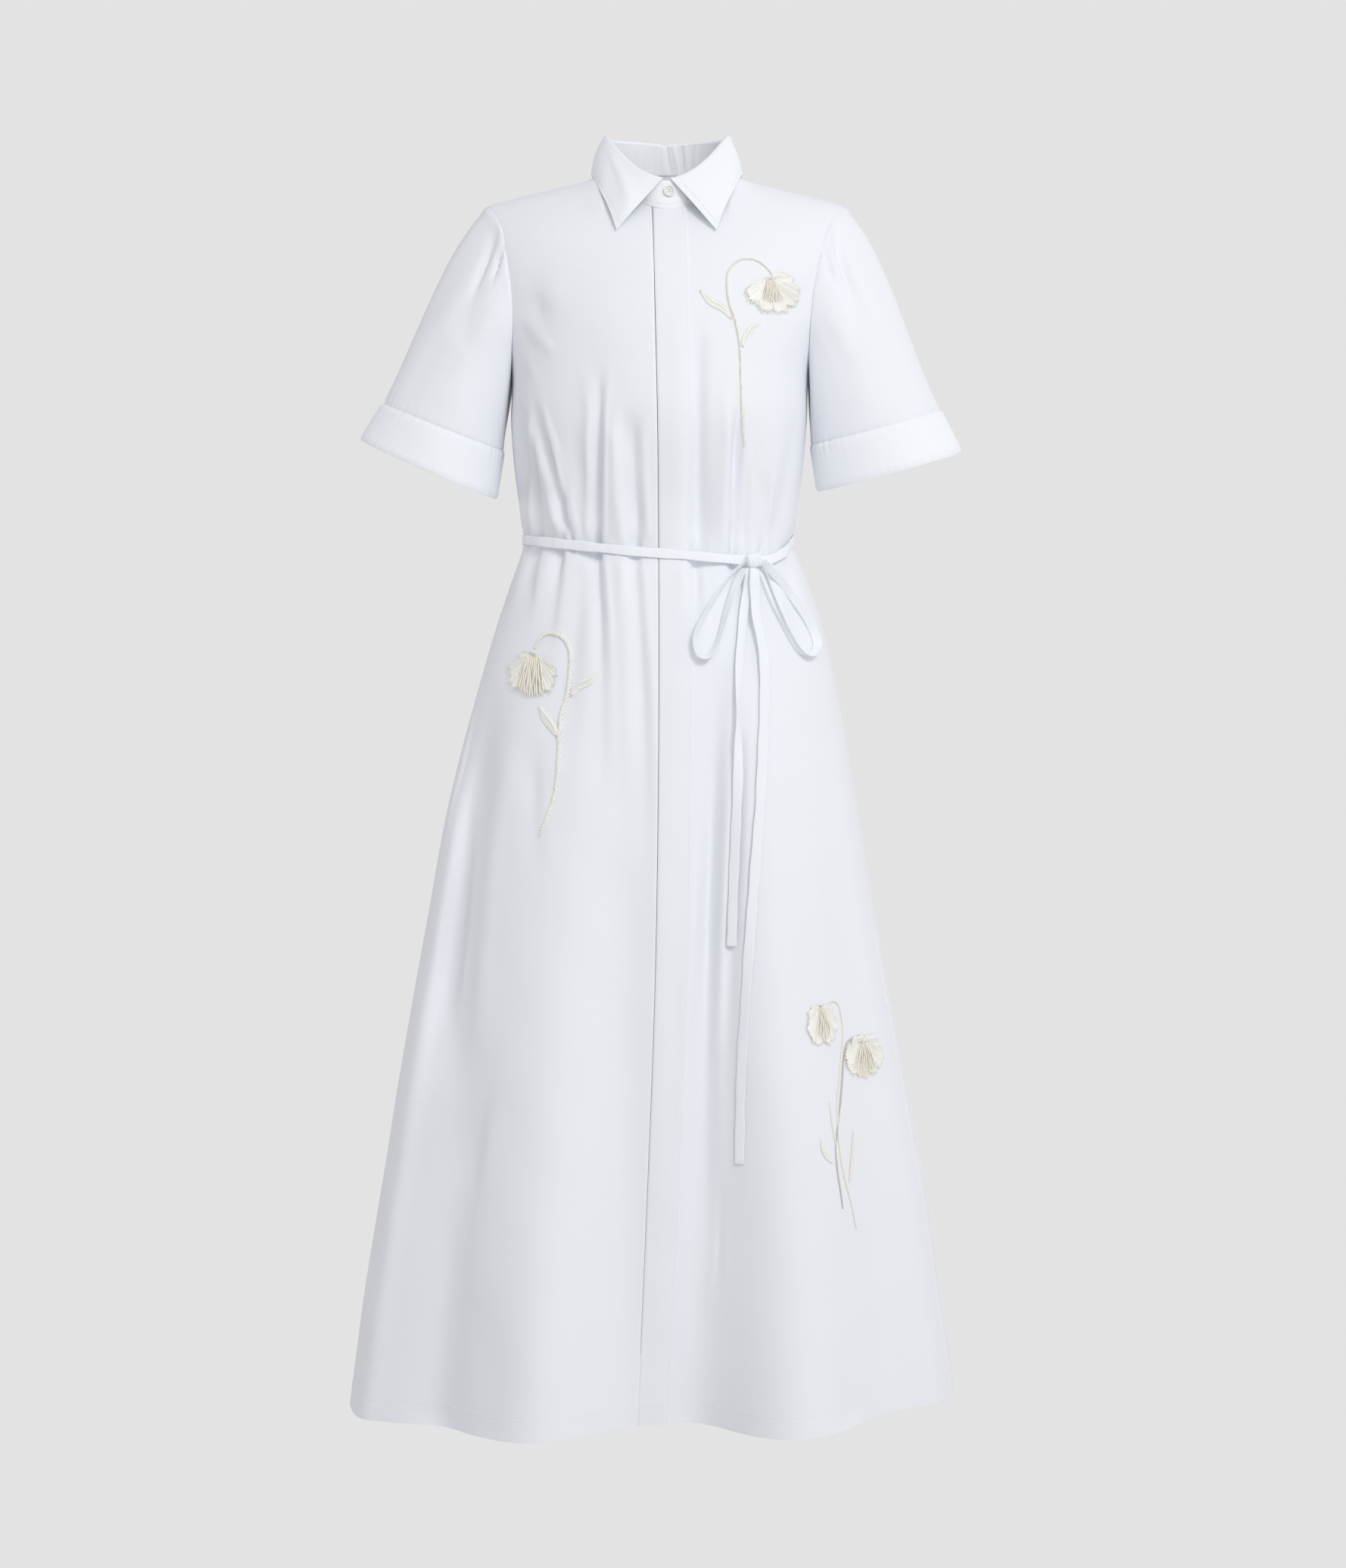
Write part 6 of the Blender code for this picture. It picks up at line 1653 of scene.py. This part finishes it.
hipStem = {
    "x": [-0.1252, -0.1228, -0.1195, -0.1150, -0.1085, -0.1010, -0.0945, -0.0905, -0.0892,
          -0.0900, -0.0925, -0.0990, -0.1000, -0.1030, -0.1110, -0.1185],
    "height": [-0.4760, -0.4695, -0.4645, -0.4612, -0.4600, -0.4622, -0.4680, -0.4760, -0.4850,
               -0.5020, -0.5220, -0.5450, -0.5800, -0.6150, -0.6400, -0.6600],
    "breadth": [0.0016, 0.0018, 0.0022, 0.0028, 0.0034, 0.0036, 0.0037, 0.0037, 0.0037,
                0.0037, 0.0037, 0.0037, 0.0035, 0.0031, 0.0028, 0.0023],
}
hipLeafInner = {
    "x": [-0.0895, -0.0810, -0.0710, -0.0620], "height": [-0.5240, -0.5130, -0.5080, -0.5010],
    "breadth": [0.0024, 0.0082, 0.0078, 0.0020], "tones": ("threadIvory", "threadIvory"),
}
hipLeafOuter = {
    "x": [-0.1010, -0.1075, -0.1140, -0.1200], "height": [-0.5640, -0.5520, -0.5430, -0.5330],
    "breadth": [0.0024, 0.0082, 0.0078, 0.0016], "tones": ("threadIvory", "threadIvory"),
}
hipHead = {
    "x": -0.1270, "height": -0.5000, "halfWidth": 0.0222, "above": 0.0225, "below": 0.0245, "lean": -5,
    "columns": 37, "calyxUp": 0.86, "calyxReach": 0.18, "calyxStitches": 7,
    "calyxTone": "threadIvory", "pleat": 0.00045,
    "petals": [(124, 1.02, 26), (52, 0.74, 26), (168, 1.08, 26), (8, 1.02, 26),
               (-156, 1.04, 26), (-26, 1.04, 28), (-60, 0.92, 22)],
    "strands": 17, "strandTop": 0.24, "strandFan": 0.58, "strandFoot": 1.0, "strand": 0.00086, "beads": 15,
}
thickRope = {"spacing": 0.0029, "reach": 0.0047, "thick": 0.29, "rise": 0.0017, "sway": 0.40,
             "strands": [(-0.17, 1, "threadIvory"), (0.17, 1, "threadIvory")]}
hipLeafCut = {"spacing": 0.00095, "lean": 0.0034, "thick": 0.00056, "rise": 0.0018, "edge": 0.00062}
makeSprig(rightTree, thickRope, {"hipStem": [hipStem]}, hipLeafCut,
          {"hipLeafInner": hipLeafInner, "hipLeafOuter": hipLeafOuter}, {"hip": hipHead})
print("hip sprig made")

paleStrands = [(-0.22, 1, "threadBeige"), (0.24, 0.9, "threadIvory")]
skirtNeck = {
    "x": [0.1745, 0.1770, 0.1740, 0.1705], "height": [-0.8310, -0.8520, -0.8850, -0.9200],
    "breadth": [0.0018, 0.0019, 0.0019, 0.0019], "strands": paleStrands,
}
skirtUpper = {
    "x": [0.1707, 0.1705, 0.1715, 0.1760, 0.1840, 0.1890],
    "height": [-0.9080, -0.9200, -0.9540, -0.9860, -1.0180, -1.0420],
    "breadth": [0.0012, 0.0019, 0.0018, 0.0018, 0.0016, 0.0014],
}
skirtLower = {
    "x": [0.1935, 0.1870, 0.1805, 0.1775, 0.1755, 0.1735, 0.1705, 0.1680],
    "height": [-0.8590, -0.8590, -0.8640, -0.8760, -0.9000, -0.9200, -0.9420, -0.9640],
    "breadth": [0.0017, 0.0018, 0.0018, 0.0018, 0.0018, 0.0018, 0.0017, 0.0015],
}
skirtFoot = {
    "x": [0.1680, 0.1700, 0.1730, 0.1750], "height": [-0.9640, -0.9850, -1.0050, -1.0210],
    "breadth": [0.0014, 0.0016, 0.0015, 0.0013],
}
skirtLeafOuter = {
    "x": [0.1655, 0.1600, 0.1555, 0.1540], "height": [-0.9760, -0.9700, -0.9620, -0.9520],
    "breadth": [0.0014, 0.0048, 0.0046, 0.0012], "tones": ("threadIvory", "threadIvory"),
}
skirtLeafInner = {
    "x": [0.1820, 0.1840, 0.1860, 0.1870], "height": [-0.9960, -0.9840, -0.9650, -0.9480],
    "breadth": [0.0014, 0.0036, 0.0034, 0.0012], "tones": ("threadBeige", "threadTaupe"),
}
skirtArch = {
    "x": [0.1580, 0.1610, 0.1665, 0.1720, 0.1745], "height": [-0.8330, -0.8250, -0.8215, -0.8250, -0.8320],
    "breadth": [0.0015, 0.0017, 0.0018, 0.0018, 0.0018], "strands": paleStrands,
}
skirtBlade = {
    "x": [0.1622, 0.1640, 0.1662, 0.1690], "height": [-0.9180, -0.9320, -0.9470, -0.9620],
    "breadth": [0.0010, 0.0016, 0.0016, 0.0012],
}
skirtUpperHead = {
    "x": 0.1552, "height": -0.8420, "halfWidth": 0.0148, "above": 0.0212, "below": 0.0218, "lean": 6,
    "columns": 29, "calyxUp": 0.80, "calyxReach": 0.20, "calyxStitches": 5,
    "calyxTone": "threadIvory", "pleat": 0.00028,
    "petals": [(140, 0.98, 40), (40, 0.92, 38), (190, 1.02, 38), (-10, 0.98, 38),
               (-128, 1.0, 36), (-58, 0.98, 38)],
    "strands": 11, "strandTop": 0.10, "strandFan": 0.46, "strandFoot": 0.74, "strand": 0.00054, "beads": 11,
}
skirtLowerHead = {
    "x": 0.1972, "height": -0.8745, "halfWidth": 0.0188, "above": 0.0200, "below": 0.0222, "lean": 3,
    "columns": 33, "calyxUp": 0.62, "calyxReach": 0.36, "calyxStitches": 7,
    "calyxTone": "threadBeige", "pleat": 0.00030,
    "petals": [(112, 0.92, 40), (46, 1.0, 38), (176, 1.0, 40), (-8, 1.04, 38),
               (-144, 1.0, 36), (-44, 1.02, 36), (-90, 1.0, 34)],
    "strands": 15, "strandTop": 0.10, "strandFan": 0.64, "strandFoot": 1.0, "strand": 0.00056, "beads": 11,
}
skirtLeafCut = {"spacing": 0.00070, "lean": 0.0024, "thick": 0.00040, "rise": 0.0010, "edge": 0.00034}
thinRope = {"spacing": 0.0020, "reach": 0.0046, "thick": 0.26, "rise": 0.0008, "sway": 0.12,
            "strands": [(-0.22, 1, "threadTaupe"), (0.24, 0.9, "threadBeige")]}
skirtStems = {"skirtStemUpper": [skirtArch, skirtNeck, skirtUpper, skirtBlade],
              "skirtStemLower": [skirtLower], "skirtStemFoot": [skirtFoot]}
skirtLeaves = {"skirtLeafOuter": skirtLeafOuter, "skirtLeafInner": skirtLeafInner}
skirtHeads = {"skirtUpper": skirtUpperHead, "skirtLower": skirtLowerHead}
makeSprig(leftTree, thinRope, skirtStems, skirtLeafCut, skirtLeaves, skirtHeads)
print("skirt sprig made")

# seams sewn through
sewing = {"pitch": 0.0032, "long": 0.0023, "thick": 0.00026, "proud": 0.00018}


def sewLine(points, outwardNormals):
    # stitches at an even pitch along a line of points
    gaps = np.linalg.norm(np.diff(points, axis=0), axis=1)
    run = np.concatenate([[0], np.cumsum(gaps)])
    starts = np.arange(0.001, run[-1] - sewing["long"], sewing["pitch"])
    t = np.linspace(0, 1, seamShape["rings"])
    at = starts[:, None] + sewing["long"] * t
    paths = np.stack([np.interp(at, run, points[:, axis]) for axis in range(3)], axis=-1)
    out = np.stack([np.interp(at, run, outwardNormals[:, axis]) for axis in range(3)], axis=-1)
    lift = sewing["proud"] * (0.1 + 0.9 * np.sin(math.pi * t) ** 0.5)
    radii = sewing["thick"] * swelling(t, 0.6) + 0 * at
    return sweep(seamShape, paths + out * lift[:, None], radii)


def sewPiece(name, lines):
    groups = [sewLine(points, normals) for points, normals in lines]
    joinThreads(name, None, "poplin", groups, ["poplin"] * len(groups))


def gridLine(points, row=None, column=None, outward=1, around=False):
    normals = outward * gridNormals(points, around)
    if row is not None:
        line, out = points[row], normals[row]
        if around:
            line, out = np.concatenate([line, line[:1]]), np.concatenate([out, out[:1]])
        return line, out
    return points[:, column], normals[:, column]


def collarLine(points, inset):
    # along both short ends and the long edge of the leaf, this far in
    normals = -gridNormals(points)
    fromEdge = np.linalg.norm(np.diff(points, axis=0), axis=2)[::-1].cumsum(axis=0)
    fromEdge = np.concatenate([np.zeros((1, points.shape[1])), fromEdge])[::-1]
    fromEnd = np.linalg.norm(np.diff(points[-1], axis=0), axis=1).cumsum()
    first = int(np.searchsorted(fromEnd, inset)) + 1
    last = points.shape[1] - 1 - first
    line = []
    for data in (points, normals):
        edge = []
        for column in range(first, last + 1):
            run, values = fromEdge[::-1, column], data[::-1, column]
            edge.append([np.interp(inset, run, values[:, axis]) for axis in range(3)])
        line.append(np.concatenate([data[12:-2, first], edge, data[-3:11:-1, last]]))
    return line


sewn = {"hemRow": 3, "placketColumn": 13, "cuffRow": 9, "standRow": 2, "leftStart": 12}
sewPiece("hemStitches", [
    gridLine(rightRows, row=sewn["hemRow"], outward=-1),
    gridLine(leftRows[:, sewn["leftStart"]:], row=sewn["hemRow"]),
    gridLine(rearRows, row=sewn["hemRow"]),
    gridLine(placket, row=sewn["hemRow"]),
])
sewPiece("placketStitches", [gridLine(placket, column=sewn["placketColumn"])])
sewPiece("cuffStitches", [
    gridLine(cuffBandRight, row=sewn["cuffRow"], around=True),
    gridLine(cuffBandLeft, row=sewn["cuffRow"], outward=-1, around=True),
])
sewPiece("collarStitches", [
    collarLine(leaf, collar["stitchIn"]),
    gridLine(stand, row=sewn["standRow"], outward=-1),
])
print("stitches made")

# floor, backdrop and light
studio = {"radius": 7.0, "middle": (0, 0, -0.6), "floor": -1.95, "tone": 0.768,
          "world": 0.69, "dark": 0.70, "bright": 1.08}
# lights: where from, the height aimed at, power, size, colour
lights = [
    ("key", (1.3, -2.7, 1.1), -0.55, 31, 0.9, (0.975, 0.995, 1.0)),
    ("fill", (0.1, -3.2, 0.8), -0.5, 11, 1.6, (1, 1, 1)),
    ("side", (-2.7, 0.5, -0.2), -0.7, 9, 0.9, (1, 1, 1)),
    ("back", (1.7, 2.5, 1.0), -0.6, 12, 1.6, (1, 1, 1)),
]


def makeStage():
    # a paper bowl with a flat floor, lit by itself
    ball = {"segments": 64, "ring_count": 32, "radius": studio["radius"], "location": studio["middle"]}
    stage = freshPiece("studioBowl", bpy.ops.mesh.primitive_uv_sphere_add, **ball)
    floor = {"plane_co": (0, 0, studio["floor"]), "plane_no": (0, 0, 1)}
    allFaces(bpy.ops.mesh.bisect, use_fill=True, clear_inner=True, **floor)
    allFaces(bpy.ops.mesh.normals_make_consistent, inside=True)
    rest(stage)
    smoothBelow(30)
    material = bpy.data.materials.new("studioPaper")
    material.use_nodes = True
    tone = studio["tone"]
    setInputs(material.node_tree.nodes["Principled BSDF"], {
        "Base Color": (0, 0, 0, 1), "Specular IOR Level": 0, "Roughness": 1,
        "Emission Color": (tone, tone, tone, 1), "Emission Strength": 1,
    })
    stage.data.materials.append(material)
    stage.visible_diffuse = False
    stage.visible_glossy = False
    stage.visible_transmission = False
    stage.visible_shadow = False


def areaLight(name, spot, aimHeight, power, size, colour):
    data = bpy.data.lights.new(name, "AREA")
    data.energy = power
    data.size = size
    data.color = colour
    light = bpy.data.objects.new(name, data)
    light.location = spot
    light.rotation_euler = (Vector((0, 0, aimHeight)) - Vector(spot)).to_track_quat("-Z", "Y").to_euler()
    bpy.context.scene.collection.objects.link(light)


def makeWorld():
    # the sky is a little darker on one side
    world = bpy.context.scene.world or bpy.data.worlds.new("studio")
    bpy.context.scene.world = world
    world.use_nodes = True
    world.node_tree.nodes.clear()
    out = addNode(world, "OutputWorld")
    sky = addNode(world, "Background", {"Color": (0.985, 0.985, 0.995, 1)})
    place = addNode(world, "TexCoord")
    split = addNode(world, "SeparateXYZ")
    ends = {"To Min": studio["world"] * studio["dark"], "To Max": studio["world"] * studio["bright"]}
    sides = addNode(world, "MapRange", {"From Min": -1, "From Max": 1, **ends})
    links = world.node_tree.links
    links.new(place.outputs["Generated"], split.inputs["Vector"])
    links.new(split.outputs["X"], sides.inputs["Value"])
    links.new(sides.outputs["Result"], sky.inputs["Strength"])
    links.new(sky.outputs["Background"], out.inputs["Surface"])


makeStage()
makeWorld()
for light in lights:
    areaLight(*light)
bpy.context.scene.view_settings.view_transform = "Standard"
print("studio made")
